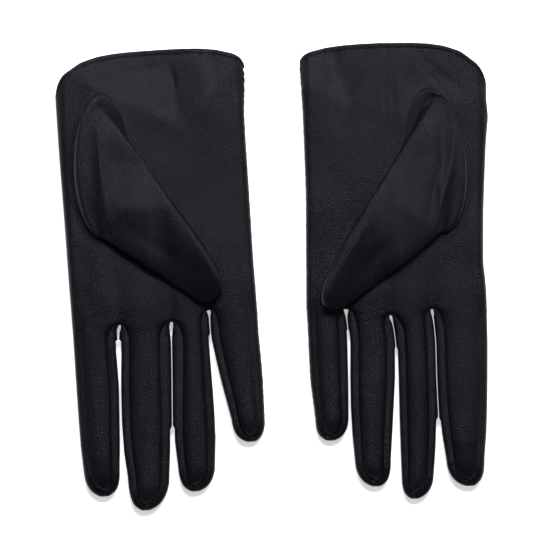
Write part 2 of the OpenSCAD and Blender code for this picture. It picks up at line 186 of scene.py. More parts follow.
# %% Outlines
OUTER_PARTS = ("base", "tip", "base_fourchette", "tip_fourchette")
INNER_PARTS = ("base_palm", "tip_palm", "base_fourchette_a", "base_fourchette_b", "tip_fourchettes")
FINGER_NODES = {}
for finger in FINGERS:
    parts = OUTER_PARTS if finger in ("index", "little") else INNER_PARTS
    FINGER_NODES[finger] = [f"{finger}_{part}" for part in parts]
OUTLINE = {}
for side in SIDES:
    for finger in FINGERS:
        edges = cad_edges(side, FINGER_NODES[finger])
        low = min(edges[0][:, 1].min(), edges[1][:, 1].min())
        OUTLINE[side, finger] = outline(edges, np.arange(low + 0.05, 12, 0.5), 1)
    hand = cad_edges(side, ("palm_panel", "thumb_side_fold", "outer_side_fold"))
    OUTLINE[side, "hand"] = outline(hand, np.arange(0, 133, 1.5), 1)
    for finger in ("index", "little"):
        fingers_end = OUTLINE[side, finger][-1, 0]
        above = OUTLINE[side, "hand"][OUTLINE[side, "hand"][:, 0] > fingers_end][:12]
        joined = np.concatenate([OUTLINE[side, finger], above])
        outer = 1 if finger == "index" else 2
        joined[-len(above):, 3 - outer] = OUTLINE[side, finger][-1, 3 - outer]
        OUTLINE[side, finger] = joined
    xs = (min(hand[0][:, 0].min(), 0), max(hand[0][:, 0].max(), 0))
    OUTLINE[side, "cuff"] = outline(hand, np.linspace(xs[0] + 0.05, xs[1] - 0.05, 90), 0)
    tips = [round(OUTLINE[side, finger][0, 0], 1) for finger in FINGERS]
    print(side, "fingertips at", tips, "mm")

# %% [markdown]
# ## The camera
# The gloves are seen straight from above on a white table, so the camera looks straight down from
# far off, which keeps the fingers' proportions. A long lens does the same as a tall copy stand.

# %% Camera
VIEW_CENTRE = (-2.4 * MM, 5.1 * MM)
VIEW_WIDTH = 0.2602
CAMERA_HEIGHT = 1.5
scene = bpy.context.scene
camera_data = bpy.data.cameras.new("copy_stand_camera")
camera_data.sensor_width = 36
camera_data.lens = 36 * CAMERA_HEIGHT / VIEW_WIDTH
camera_data.clip_start = 0.05
camera_data.clip_end = 20
camera = bpy.data.objects.new("copy_stand_camera", camera_data)
camera.location = (*VIEW_CENTRE, CAMERA_HEIGHT + 5 * MM)
scene.collection.objects.link(camera)
scene.camera = camera
print("camera", round(camera_data.lens, 1), "mm lens at", CAMERA_HEIGHT, "m")

# %% [markdown]
# ## A bare material
# Every material starts from one main shader and an output, with nothing else in its tree.

# %% Material helper
def new_material(name):
    """A bare material, its node tree, its links and its main shader."""
    material = bpy.data.materials.new(name)
    material.use_nodes = True
    tree = material.node_tree
    tree.nodes.clear()
    shader = tree.nodes.new("ShaderNodeBsdfPrincipled")
    output = tree.nodes.new("ShaderNodeOutputMaterial")
    tree.links.new(shader.outputs["BSDF"], output.inputs["Surface"])
    return material, tree.nodes, tree.links, shader


print("bare material ready")

# %% [markdown]
# ## The white table
# A copy table is matt white and lit from all round, so it has almost no shadows. A little light of
# its own does the same with few lamps.

# %% Table
table_paint, nodes, links, shader = new_material("white_table")
shader.inputs["Base Color"].default_value = (0.93, 0.93, 0.935, 1)
shader.inputs["Roughness"].default_value = 0.85
shader.inputs["Specular IOR Level"].default_value = 0.1
shader.inputs["Emission Color"].default_value = (1, 1, 1, 1)
shader.inputs["Emission Strength"].default_value = 0.5
table = bmesh.new()
bmesh.ops.create_grid(table, x_segments=1, y_segments=1, size=3.0)
table_mesh = bpy.data.meshes.new("table")
table.to_mesh(table_mesh)
table.free()
table_object = bpy.data.objects.new("table", table_mesh)
table_object.data.materials.append(table_paint)
table_object.location = (0, 0, -0.0002)
scene.collection.objects.link(table_object)
table_object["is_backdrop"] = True
print("table", [round(float(s), 1) for s in table_object.dimensions], "m")

# %% [markdown]
# ## Softboxes
# The main light stands beyond the cuffs. Cloth tilted towards it shines and cloth tilted away goes
# dark, which is what draws the folds of a black satin. Two weak ones at the sides lift the edges.

# %% Light
def softbox(name, place, aim, size, watts):
    data = bpy.data.lights.new(name, "AREA")
    data.shape = "RECTANGLE"
    data.size, data.size_y = size
    data.energy = watts
    lamp = bpy.data.objects.new(name, data)
    lamp.location = place
    lamp.rotation_euler = (Vector(aim) - Vector(place)).to_track_quat("-Z", "Y").to_euler()
    scene.collection.objects.link(lamp)


softbox("cuff_softbox", (0.12, 0.85, 1.2), (0, 0.03, 0), (0.9, 0.36), 40)
softbox("left_softbox", (-1.25, 0.35, 0.75), (0, 0, 0), (0.35, 0.9), 1.6)
softbox("right_softbox", (1.25, 0.35, 0.75), (0, 0, 0), (0.35, 0.9), 1.6)
world = bpy.data.worlds.new("studio")
world.use_nodes = True
world.node_tree.nodes["Background"].inputs["Color"].default_value = (1, 1, 1, 1)
world.node_tree.nodes["Background"].inputs["Strength"].default_value = 0.13
scene.world = world
scene.view_settings.view_transform = "Standard"
print("lights:", len(bpy.data.lights))

# %% [markdown]
# ## Satin knit
# The cloth is a fine warp knit in violet-black. Its face is smooth, so it shines along the folds, and
# close up it shows rows of tiny loops and a sparkle where single filaments catch the light. A picture
# texture could show that, but a procedural one has detail at any distance: two crossed waves for the
# loops, a fine noise for the filaments, and a slow noise for the way the sheen wanders.

# %% Texture helpers
LOOPS_HIGH = 0.00012
SPARKS_HIGH = 0.0002


def wave(nodes, direction, scale, distortion):
    """Soft parallel bands: scale is in bands for each millimetre of cloth, roughly."""
    texture = nodes.new("ShaderNodeTexWave")
    texture.wave_type = "BANDS"
    texture.bands_direction = direction
    texture.inputs["Scale"].default_value = scale
    texture.inputs["Distortion"].default_value = distortion
    texture.inputs["Detail"].default_value = 1.0
    return texture


def noise(nodes, scale, detail):
    texture = nodes.new("ShaderNodeTexNoise")
    texture.inputs["Scale"].default_value = scale
    texture.inputs["Detail"].default_value = detail
    return texture


def bump(nodes, links, height, strength, distance, below=None):
    """A bump from a height output, on top of the bump below it."""
    node = nodes.new("ShaderNodeBump")
    node.inputs["Strength"].default_value = strength
    node.inputs["Distance"].default_value = distance
    links.new(height, node.inputs["Height"])
    if below:
        links.new(below.outputs["Normal"], node.inputs["Normal"])
    return node


print("texture helpers ready")

# %% [markdown]
# ## Putting the satin together
# The pattern on each piece is in millimetres of cloth, so the loops have the same size everywhere. The
# filaments raise its sparkle with their bump, and they lighten its colour in spots, which is partly random
# grain and partly a painted glint. The slow drift moves tone and gloss a little.

# %% Satin material
# Darkest and lightest share of the colour: the light end is random knit grain and also a painted filament
# glint.
TONE_AND_GLINT_RANGE = (0.35, 2.1)
GLOSS_DRIFT = 0.03


def satin(name, colour, gloss, loops, sparkle):
    """Satin knit: loops and sparkle are the strengths of its two bumps."""
    material, nodes, links, shader = new_material(name)
    where = nodes.new("ShaderNodeUVMap")
    where.uv_map = "grain"
    rows = wave(nodes, "X", 0.62, 0.6)
    courses = wave(nodes, "Y", 0.54, 0.8)
    filament = noise(nodes, 2.1, 2.0)
    drift = noise(nodes, 0.045, 0.5)
    for texture in (rows, courses, filament, drift):
        links.new(where.outputs["UV"], texture.inputs["Vector"])
    loop = nodes.new("ShaderNodeMath")
    loop.operation = "MULTIPLY"
    links.new(rows.outputs["Fac"], loop.inputs[0])
    links.new(courses.outputs["Fac"], loop.inputs[1])
    glint = nodes.new("ShaderNodeMapRange")
    glint.inputs["From Min"].default_value = 0.36
    glint.inputs["From Max"].default_value = 0.66
    links.new(filament.outputs["Fac"], glint.inputs["Value"])
    # The filament spots lighten the base colour: random grain in the knit, and a painted glint as well.
    tone = nodes.new("ShaderNodeMixRGB")
    for socket, share in zip(("Color1", "Color2"), TONE_AND_GLINT_RANGE):
        tone.inputs[socket].default_value = (*[c * share for c in colour], 1)
    links.new(glint.outputs["Result"], tone.inputs["Fac"])
    wander = nodes.new("ShaderNodeMixRGB")
    wander.blend_type = "MULTIPLY"
    wander.inputs["Fac"].default_value = 0.2
    links.new(tone.outputs["Color"], wander.inputs["Color1"])
    links.new(drift.outputs["Fac"], wander.inputs["Color2"])
    links.new(wander.outputs["Color"], shader.inputs["Base Color"])
    rough = nodes.new("ShaderNodeMapRange")
    rough.inputs["To Min"].default_value = gloss - GLOSS_DRIFT
    rough.inputs["To Max"].default_value = gloss + GLOSS_DRIFT
    links.new(drift.outputs["Fac"], rough.inputs["Value"])
    links.new(rough.outputs["Result"], shader.inputs["Roughness"])
    loops_bump = bump(nodes, links, loop.outputs["Value"], loops, LOOPS_HIGH)
    sparks_bump = bump(nodes, links, glint.outputs["Result"], sparkle, SPARKS_HIGH, loops_bump)
    links.new(sparks_bump.outputs["Normal"], shader.inputs["Normal"])
    shader.inputs["Specular IOR Level"].default_value = 0.12
    shader.inputs["Specular Tint"].default_value = (0.88, 0.78, 1.0, 1)
    return material


SATIN = satin("black_satin_knit", (0.0024, 0.0021, 0.0031), 0.31, 0.3, 0.6)
PATCH_SATIN = satin("fingertip_knit", (0.0026, 0.0022, 0.0034), 0.40, 0.12, 0.3)
LINING = satin("knit_wrong_side", (0.0026, 0.0022, 0.0034), 0.62, 0.6, 0.4)
print("satin:", SATIN.name, PATCH_SATIN.name, LINING.name)

# %% [markdown]
# ## Sewing thread
# The seams are sewn with a spun black thread. It is matt, and its twist shows as slanting bands.

# %% Thread material
def thread_material(name, colour):
    """Spun sewing thread: matt, with its twist as fine slanting bands."""
    material, nodes, links, shader = new_material(name)
    where = nodes.new("ShaderNodeTexCoord")
    twist = nodes.new("ShaderNodeTexWave")
    twist.bands_direction = "DIAGONAL"
    twist.inputs["Scale"].default_value = 900
    twist.inputs["Distortion"].default_value = 1.2
    tone = nodes.new("ShaderNodeMixRGB")
    tone.inputs["Color1"].default_value = (*[c * 0.6 for c in colour], 1)
    tone.inputs["Color2"].default_value = (*[c * 1.5 for c in colour], 1)
    links.new(where.outputs["Object"], twist.inputs["Vector"])
    links.new(twist.outputs["Fac"], tone.inputs["Fac"])
    links.new(tone.outputs["Color"], shader.inputs["Base Color"])
    ply = bump(nodes, links, twist.outputs["Fac"], 0.5, 0.0001)
    links.new(ply.outputs["Normal"], shader.inputs["Normal"])
    shader.inputs["Roughness"].default_value = 0.55
    shader.inputs["Specular IOR Level"].default_value = 0.06
    return material


THREAD = thread_material("black_thread", (0.0045, 0.004, 0.0055))
print("thread:", THREAD.name)

# %% [markdown]
# ## The trank as one sheet
# The real trank is one flat piece of cloth with slits cut up between the fingers. A bmesh grid is the
# same thing: its columns run from cuff to fingertip, and the faces in the slits are deleted. Each
# column and row number is kept on the vertices, so that the sheet can be laid to its outline.

# %% Grid and slits
FINGER_COLUMNS = 15
SLIT_COLUMNS = 2
HAND_ROWS = 128
FINGER_ROWS = 86
COLUMNS = 4 * FINGER_COLUMNS + 3 * SLIT_COLUMNS
ROWS = HAND_ROWS + FINGER_ROWS
PITCH = FINGER_COLUMNS + SLIT_COLUMNS


def slit_sheet():
    """The uncut grid with its three slits opened: row 0 is the fingertips, the last row is the cuff."""
    sheet = bmesh.new()
    bmesh.ops.create_grid(sheet, x_segments=COLUMNS, y_segments=ROWS, size=1)
    column = sheet.verts.layers.int.new("column")
    row = sheet.verts.layers.int.new("row")
    for v in sheet.verts:
        v[column] = round((v.co.x + 1) / 2 * COLUMNS)
        v[row] = round((v.co.y + 1) / 2 * ROWS)
    slit = []
    for f in sheet.faces:
        low_column = min(v[column] for v in f.verts)
        low_row = min(v[row] for v in f.verts)
        if low_column % PITCH >= FINGER_COLUMNS and low_row < FINGER_ROWS:
            slit.append(f)
    bmesh.ops.delete(sheet, geom=slit, context="FACES")
    return sheet, column, row


print("grid:", COLUMNS, "columns by", ROWS, "rows")

# %% [markdown]
# ## Laying the sheet to its outline
# Seams don't run along the silhouette of a glove finger: they lie a few millimetres in, because the
# fourchette makes the finger's side. So the sheet's edge is the outline drawn in by that much, and
# each slit ends in a small arch, where the two fourchettes meet.

# %% Arches
SEAM_INSET = 3.9
TIP_INSET = 3.3
TIP_ROUNDING = 12.0
ARCH_LENGTH = 9.0
ARCH_HALF_WIDTH = 0.65
ARCH_TOPS = {
    "right": ((-23.6, 4.3), (1.6, 4.0), (20.4, 8.6)),
    "left": ((-16.8, 9.2), (3.4, 6.4), (25.4, 9.8)),
}
SLIT_OPENS_BELOW = {"right": (-3.1, -47.6, -3.8), "left": (-45.0, -10.2, -1.0)}
CUFF_CROWDING = ((0, 0.86, 1), (0, 0.95, 1))


def arch_y(side, x):
    tops = ARCH_TOPS[side]
    return np.interp(x, [t[0] for t in tops], [t[1] for t in tops])


def drawn_in(x, y, top, direction):
    """A slit's edge, drawn in to the arch at its top along a quarter of an ellipse."""
    depth = top[1] - y
    if depth >= ARCH_LENGTH:
        return x
    spread = math.sqrt(max(0.0, 1 - (1 - max(depth, 0) / ARCH_LENGTH) ** 2))
    full = max((x - top[0]) * direction, ARCH_HALF_WIDTH)
    return top[0] + direction * (ARCH_HALF_WIDTH + (full - ARCH_HALF_WIDTH) * spread)


print("arches:", ARCH_TOPS)

# %% [markdown]
# ## A finger of the sheet
# Between its two seams a finger is a plain strip. Towards the tip the seams follow a scaled copy of
# the outline, so that the strip ends round and inside it.

# %% Finger places
def seam_lines(side, number, y):
    """x of both seams of a finger at height y."""
    rows = OUTLINE[side, FINGERS[number]]
    tip = rows[0, 0]
    y_out = y
    if y < tip + TIP_ROUNDING:
        y_out = tip + (y - tip - TIP_INSET) * TIP_ROUNDING / (TIP_ROUNDING - TIP_INSET)
    left = np.interp(y_out, rows[:, 0], rows[:, 1])
    right = np.interp(y_out, rows[:, 0], rows[:, 2])
    inset = min(SEAM_INSET, (right - left) * 0.2)
    left, right = left + inset, right - inset
    if number > 0:
        left = drawn_in(left, y, ARCH_TOPS[side][number - 1], 1)
    if number < 3:
        right = drawn_in(right, y, ARCH_TOPS[side][number], -1)
    return left, right


def finger_place(side, number, share, level):
    """(x, y) in a finger's sheet: share runs across it, and level from 0 at its tip to 1 at the arch."""
    rows = OUTLINE[side, FINGERS[number]]
    low = rows[0, 0] + TIP_INSET
    left_root, right_root = (np.interp(0, rows[:, 0], rows[:, column]) for column in (1, 2))
    x_root = left_root * (1 - share) + right_root * share
    y = low + (arch_y(side, x_root) - low) * level
    left, right = seam_lines(side, number, y)
    return left * (1 - share) + right * share, y


def root_x(side, column):
    """x of a column where the hand meets the fingers."""
    number, place = divmod(column, PITCH)
    if place <= FINGER_COLUMNS:
        return finger_place(side, number, place / FINGER_COLUMNS, 1.0)[0]
    share = (place - FINGER_COLUMNS) / SLIT_COLUMNS
    return ARCH_TOPS[side][number][0] + ARCH_HALF_WIDTH * (2 * share - 1)


print("roots:", {side: round(float(root_x(side, 0)), 1) for side in SIDES})

# %% [markdown]
# ## The hand of the sheet
# Above the arches the four strips are one cloth. Its rows run from the arches to the cuff, and they
# lie closer together near the cuff, where the puckers are.

# %% Hand places
def cuff_edge(side, x):
    rows = OUTLINE[side, "cuff"]
    return np.interp(x, rows[:, 0], rows[:, 2])


def hand_sides(side, level):
    """x of the sheet's two long edges, a share of the way from the arches to the cuff."""
    rows = OUTLINE[side, "hand"]
    found = []
    for column, sign, place in ((1, 1, -99), (2, -1, 99)):
        near = np.interp(60, rows[:, 0], rows[:, column])
        end = cuff_edge(side, near + sign * SEAM_INSET)
        y = arch_y(side, place) + level * (end - arch_y(side, place))
        usable = rows[rows[:, 0] < end - 9]
        found.append(np.interp(y, usable[:, 0], usable[:, column]) + sign * SEAM_INSET)
    return found


def sheet_place(side, column, row):
    """(x, y) of one vertex of the sheet, in the glove's own millimetres."""
    number, place = divmod(column, PITCH)
    if row < FINGER_ROWS:
        return finger_place(side, number, place / FINGER_COLUMNS, row / FINGER_ROWS)
    level = float(np.interp((row - FINGER_ROWS) / HAND_ROWS, *CUFF_CROWDING))
    root = root_x(side, column)
    left0, right0 = root_x(side, 0), root_x(side, COLUMNS)
    left, right = hand_sides(side, level)
    ease = min(1.0, level * 6)
    left = left0 + (left - left0) * ease
    right = right0 + (right - right0) * ease
    x = left + (root - left0) / (right0 - left0) * (right - left)
    low = arch_y(side, root)
    return x, low + (cuff_edge(side, x) - low) * level


for side in SIDES:
    print(side, "cuff centre at", [round(float(c), 1) for c in sheet_place(side, COLUMNS // 2, ROWS)])

# %% [markdown]
# ## How high the cloth stands
# An empty glove keeps a little air. The hand is a shallow dome that falls away to a nearly closed mouth
# at the cuff, and each finger is a flattened tube. On top of that lie the folds: every one is a short
# line on the glove, with a width and a height, and the cloth rises or sinks along it. Puckers fan out
# from the stitched hem and small ripples follow the seams, because thread draws a knit together.

# %% Where the folds are
FOLDS = {
    "right": (
        (((-21, 133), (-8, 117), (11, 98)), 6.0, 0.9),
        (((34, 129), (24, 113), (12, 99)), 6.0, 0.9),
        (((7, 133), (9, 118), (11, 104)), 5.5, -0.8),
        (((9.9, 128), (11.5, 115)), 1.3, -0.9),
        (((-34, 126), (-24, 119), (-14, 112)), 3.0, 0.6),
        (((24, 133), (27, 112), (29, 88)), 6.0, 0.7),
        (((37, 126), (37, 98), (38, 60)), 4.5, -0.45),
        (((-44, 60), (-43, 30), (-42, 0)), 3.5, 0.5),
        (((-36, 46), (-30, 20), (-30, -6)), 6.5, 0.75),
        (((-12, 30), (-12, 10), (-13, -14)), 7.0, 0.7),
        (((10, 26), (10, 8), (11, -14)), 6.0, 0.55),
        (((31, 48), (31, 20), (32, -10)), 6.5, 0.6),
        (((-23, 26), (-23.4, 14), (-23.6, 4)), 3.4, -0.75),
        (((3, 22), (2, 12), (1.6, 4)), 3.0, -0.7),
        (((21, 28), (20.6, 18), (20.4, 9)), 3.2, -0.75),
        (((-36, -20), (-38, -44), (-37, -66)), 3.2, 0.35),
        (((-12, -18), (-15, -40), (-14, -66)), 3.6, 0.35),
        (((-18, -26), (-9, -34)), 2.4, -0.35),
        (((-19, -52), (-9, -58)), 2.2, -0.3),
        (((12, -20), (8, -46), (10, -66)), 3.0, 0.35),
        (((30, -14), (37, -34), (36, -48)), 3.0, 0.35),
        (((6, 50), (22, 66), (38, 74)), 7.0, -0.5),
        (((14, 28), (28, 40), (41, 44)), 6.0, 0.45),
    ),
    "left": (
        (((9, 136), (15, 118), (20, 106)), 5.0, 0.9),
        (((5, 138), (5.3, 118), (5.5, 94)), 3.4, 0.75),
        (((-2.2, 138), (-2, 118), (-2, 96)), 3.2, 0.65),
        (((1.5, 138), (1.6, 118), (1.8, 92)), 2.6, -0.8),
        (((-6, 133), (-15, 122), (-30, 109)), 4.0, 0.95),
        (((-12, 134), (-22, 123), (-34, 112)), 3.0, -0.6),
        (((-18, 131), (-26, 124)), 3.0, 0.7),
        (((30, 137), (28, 116), (24, 92)), 6.0, -0.7),
        (((39, 132), (37, 106), (36, 74)), 5.0, 0.5),
        (((-40, 60), (-39, 30), (-39, 2)), 3.5, 0.5),
        (((-30, 48), (-28, 20), (-29, -6)), 6.5, 0.7),
        (((-6, 34), (-6, 14), (-8, -12)), 6.5, 0.65),
        (((14, 30), (14, 12), (13, -12)), 6.5, 0.6),
        (((34, 52), (34, 22), (34, -8)), 6.0, 0.6),
        (((-16, 30), (-16.5, 18), (-16.8, 9)), 3.2, -0.75),
        (((4, 26), (3.6, 14), (3.4, 6)), 3.0, -0.7),
        (((26, 32), (25.6, 20), (25.4, 10)), 3.2, -0.75),
        (((-31, -20), (-32, -42), (-33, -62)), 3.6, 0.35),
        (((-9, -18), (-9, -42), (-8, -64)), 3.0, 0.35),
        (((12, -18), (13, -42), (12, -62)), 3.6, 0.35),
        (((18, -28), (8, -34)), 2.4, -0.35),
        (((34, -14), (34, -34), (34, -46)), 3.0, 0.35),
        (((24, 60), (34, 78), (40, 90)), 7.0, -0.5),
    ),
}
print("folds:", {side: len(FOLDS[side]) for side in SIDES})

# %% [markdown]
# ## Wedges and the hem's inner stitch line
# Where the hem pulls the cloth down, it lies in flat wedges between two straight creases. A wedge is
# given by its apex and one point on each crease.

# %% Wedges
FACETS = {
    "right": (((11.8, 98.6), (36, 121), (-24, 119)),),
    "left": (((20.4, 105.8), (44, 120), (8.5, 134)),),
}
FACET_SLOPE = 0.26
FOLD_STRENGTH = 0.85
HEM_WIDTH = 2.2
CREASE_STITCH = {
    "right": ((-33.7, 124.2), (-14, 127.6), (5.1, 128.3)),
    "left": ((-22, 121.5), (-14, 126.5)),
}
print("wedges:", {side: len(FACETS[side]) for side in SIDES})

# %% [markdown]
# ## How a fold is measured
# Every fold needs the distance to its bent line, and how far along the line that is.

# %% Fold tools
def line_distance(x, y, points):
    """Distance from each (x, y) to a bent line, and the share of its length where that falls."""
    best = np.full(np.shape(x), 1e9)
    share = np.zeros(np.shape(x))
    points = np.array(points, float)
    lengths = np.hypot(*np.diff(points, axis=0).T)
    done = 0.0
    for a, b, length in zip(points[:-1], points[1:], lengths):
        d = (b - a) / length
        t = np.clip((x - a[0]) * d[0] + (y - a[1]) * d[1], 0, length)
        gap = np.hypot(x - a[0] - d[0] * t, y - a[1] - d[1] * t)
        nearer = gap < best
        best = np.where(nearer, gap, best)
        share = np.where(nearer, (done + t) / lengths.sum(), share)
        done += length
    return best, share


HAND_SEED = {"right": 11, "left": 23}
BACK_SEED = 5


def ripple(x, y, seed):
    """Slow unevenness of soft cloth: a few crossed waves with fixed directions."""
    rng = np.random.default_rng(seed)
    total = np.zeros(np.shape(x))
    for wavelength, size in ((52, 0.22), (31, 0.1), (17, 0.03)):
        for _ in range(3):
            turn, phase = rng.uniform(0, 2 * math.pi, 2)
            along = x * math.cos(turn) + y * math.sin(turn)
            total += size * np.sin(along * 2 * math.pi / wavelength + phase)
    return total


print("fold tools ready")

# %% [markdown]
# ## The thumb's oval
# The hole for the thumb is an oval in the palm: its centre, its half width, its half length, and its
# turn in degrees.

# %% Oval
OVAL = {"right": (-26.9, 81.5, 13.7, 35.4, -3), "left": (-19.6, 81, 15, 35.6, -6)}


def oval_share(side, x, y, margin=0.0):
    """1 on the line that lies margin inside the thumb's oval, less inside it and more outside."""
    cx, cy, half_width, half_length, turn = OVAL[side]
    c, s = math.cos(math.radians(turn)), math.sin(math.radians(turn))
    u, v = (x - cx) * c + (y - cy) * s, -(x - cx) * s + (y - cy) * c
    return np.hypot(u / (half_width - margin), v / (half_length - margin))


def oval_distance(side, x, y):
    return (oval_share(side, x, y) - 1) * 18


print("ovals:", OVAL)

# %% [markdown]
# ## Hem, wedges and folds as heights
# Each function gives a height in millimetres for any place on the glove. A fold is a smooth ridge
# that fades at both ends. A wedge slopes away from its creases and levels out.

# %% Relief shapes
def hem_relief(side, x, y):
    """The hem's flat band, its stitched groove, and the puckers that fan out below it."""
    below = cuff_edge(side, x) - y
    band = 0.2 / (1 + np.exp(np.clip(below - HEM_WIDTH, -9, 9) * 5))
    groove = -0.12 * np.exp(-((below - HEM_WIDTH - 0.25) / 0.5) ** 2)
    fan = 0.5 + 0.5 * np.sin(x * 0.37 + 0.9 * np.sin(x * 0.21) + below * 0.05 * np.sin(x * 0.13))
    puckers = 0.55 * fan * np.exp(-((below - 6) / 8.0) ** 2) * (below > 0)
    fine = 0.14 * np.sin(x * 2 * math.pi / 3.1 + 0.7 * np.sin(x * 0.9)) * np.exp(-(below / 4.5) ** 2)
    return band + groove + puckers + fine


def facet(x, y, apex, right, left):
    """A flat wedge of cloth pulled down towards the hem, between two straight creases from its apex."""
    gaps = []
    for end, sign in ((right, 1), (left, -1)):
        d = np.array(end, float) - np.array(apex, float)
        d /= np.hypot(*d)
        gaps.append(sign * (d[0] * (y - apex[1]) - d[1] * (x - apex[0])))
    inside = (gaps[0] + gaps[1] - np.sqrt((gaps[0] - gaps[1]) ** 2 + 9)) / 2
    inside = (inside + np.sqrt(inside ** 2 + 0.7)) / 2
    return -FACET_SLOPE * 24 * np.tanh(inside / 24)


def fold_height(x, y, points, width, height, sharpness=2.0):
    """One fold: a ridge or a hollow along a bent line, dying out at both ends."""
    gap, share = line_distance(x, y, points)
    profile = np.exp(-np.sqrt((gap / width) ** 2 + 0.01) ** sharpness)
    return height * profile * (0.35 + 0.65 * np.sin(math.pi * share))


print("relief shapes ready")

# %% [markdown]
# ## All of the relief
# The parts are added up: ripples, folds, wedges, the raised rim of the oval, the pulled stitch line
# and the hem.

# %% Relief
def relief(side, x, y):
    """Everything that stands on the plain dome, in millimetres of height."""
    total = ripple(x, y, HAND_SEED[side]) * 0.8
    for fold in FOLDS[side]:
        total = total + FOLD_STRENGTH * fold_height(x, y, *fold)
    for corners in FACETS[side]:
        total = total + facet(x, y, *corners)
    total = total + 0.55 * np.exp(-(oval_distance(side, x, y) / 1.3) ** 2)
    gap, _ = line_distance(x, y, CREASE_STITCH[side])
    total = total - 0.5 * np.exp(-(gap / 0.8) ** 2) * (0.75 + 0.25 * np.sin(x * 2.9))
    return total + hem_relief(side, x, y)


for side in SIDES:
    print(side, "height of the relief in mid-palm:", round(float(relief(side, 0.0, 60.0)), 2), "mm")

# %% [markdown]
# ## One glove body in one mesh
# The sheet is laid out twice, palm and back. Then the palm's edge is extruded down to the back in eight
# small steps, which makes the side walls: a rolled fold along the two outer edges, and a fourchette in
# each slit and round each fingertip. Extruding keeps every vertex's column and row, so a wall knows
# where on the hand it is. The mesh stays in the glove's own millimetres until it is finished.

# %% Heights
WALL_STEPS = 8
SEAM_GROOVE = 0.45
MOUTH_TOP = 6.2
HEM_STEPS = (1.0, 2.5, 4.5, 7.0)
HAND_CROWN, FINGER_CROWN = 9.3, 8.4
HAND_SEAM_HEIGHT = 8.1
MOUTH_SLOPE_LENGTH = 34


def crown(values, power):
    """1 in the middle of a strip and 0 at its edges, for shares from 0 to 1."""
    return 1 - np.abs(2 * values - 1) ** power


def base_heights(side, facts):
    """Heights of palm seam, palm and back at each vertex, before the folds."""
    x, y, share, hand_share, root, tip, number = facts.T
    from_tip = np.clip((y - tip) / 13.0, 0, 1)
    taper = np.sqrt(1 - (1 - from_tip) ** 2) * 0.72 + 0.28
    above = np.clip((y - root) / 20 + 0.35, 0, 1)
    to_hand = above * above * (3 - 2 * above)
    finger_seam = FINGER_CROWN * 0.84 * taper
    finger_top = finger_seam + FINGER_CROWN * 0.19 * taper * crown(share, 2.4)
    hand_seam = np.full(len(x), HAND_SEAM_HEIGHT)
    hand_top = hand_seam + (HAND_CROWN - HAND_SEAM_HEIGHT) * crown(hand_share, 2.6)
    below = cuff_edge(side, x) - y
    closing = np.clip(below / MOUTH_SLOPE_LENGTH, 0, 1)
    closing = closing * closing * (3 - 2 * closing)
    mouth = MOUTH_TOP + 0.9 * crown(hand_share, 2)
    hand_top = mouth + (hand_top - mouth) * closing
    hand_seam = MOUTH_TOP - 1.0 + (hand_seam - MOUTH_TOP + 1.0) * closing
    top = finger_top + (hand_top - finger_top) * to_hand
    seam = finger_seam + (hand_seam - finger_seam) * to_hand
    back = 0.25 + 0.9 * np.where(to_hand > 0.5, 1 - crown(hand_share, 6), 1 - crown(share, 3)) * taper
    return seam, top, back, to_hand


print("crowns:", HAND_CROWN, FINGER_CROWN, "mm")

# %% [markdown]
# ## How far each wall may bulge
# A wall bulges out to the outline. In a slit it may only reach half way to its neighbour, less a
# hair, so that two fourchettes lie against each other without passing through.

# %% Reach of the walls
def silhouette(side):
    """A search tree over the CAD outline of the hand and its fingers."""
    found = []
    for finger in FINGERS:
        rows = OUTLINE[side, finger]
        found += [(x, y) for y, low, high in rows for x in (low, high)]
        found += [(x, rows[0, 0]) for x in np.linspace(rows[0, 1], rows[0, 2], 8)]
    hand = OUTLINE[side, "hand"]
    for y in np.arange(hand[0, 0], hand[-1, 0], 0.6):
        found += [(np.interp(y, hand[:, 0], hand[:, column]), y) for column in (1, 2)]
    tree = KDTree(len(found))
    for i, (x, y) in enumerate(found):
        tree.insert((x, y, 0), i)
    tree.balance()
    return tree


def slit_half_gap(side, v_column, v_row, x, y):
    """Half the space to the seam across the slit, and whether the fourchettes touch there."""
    number, place = divmod(v_column, PITCH)
    if place > FINGER_COLUMNS or v_row >= FINGER_ROWS:
        return ARCH_HALF_WIDTH, True
    slit = number - 1 if place == 0 else number
    closed = 0 <= slit < 3 and y > SLIT_OPENS_BELOW[side][slit]
    if place == 0 and number > 0 and y > OUTLINE[side, FINGERS[number - 1]][0, 0] + TIP_INSET:
        return (x - seam_lines(side, number - 1, y)[1]) / 2, closed
    if place == FINGER_COLUMNS and number < 3 and y > OUTLINE[side, FINGERS[number + 1]][0, 0] + TIP_INSET:
        return (seam_lines(side, number + 1, y)[0] - x) / 2, closed
    return 99.0, False


print("reach can be found")

# %% [markdown]
# ## The rim of the palm
# Each vertex on the rim is given its way out, square to the edge, and its bulge. The cuff is left out,
# because a glove is open there.

# %% Rim
SLIT_CLEARANCE = 0.1


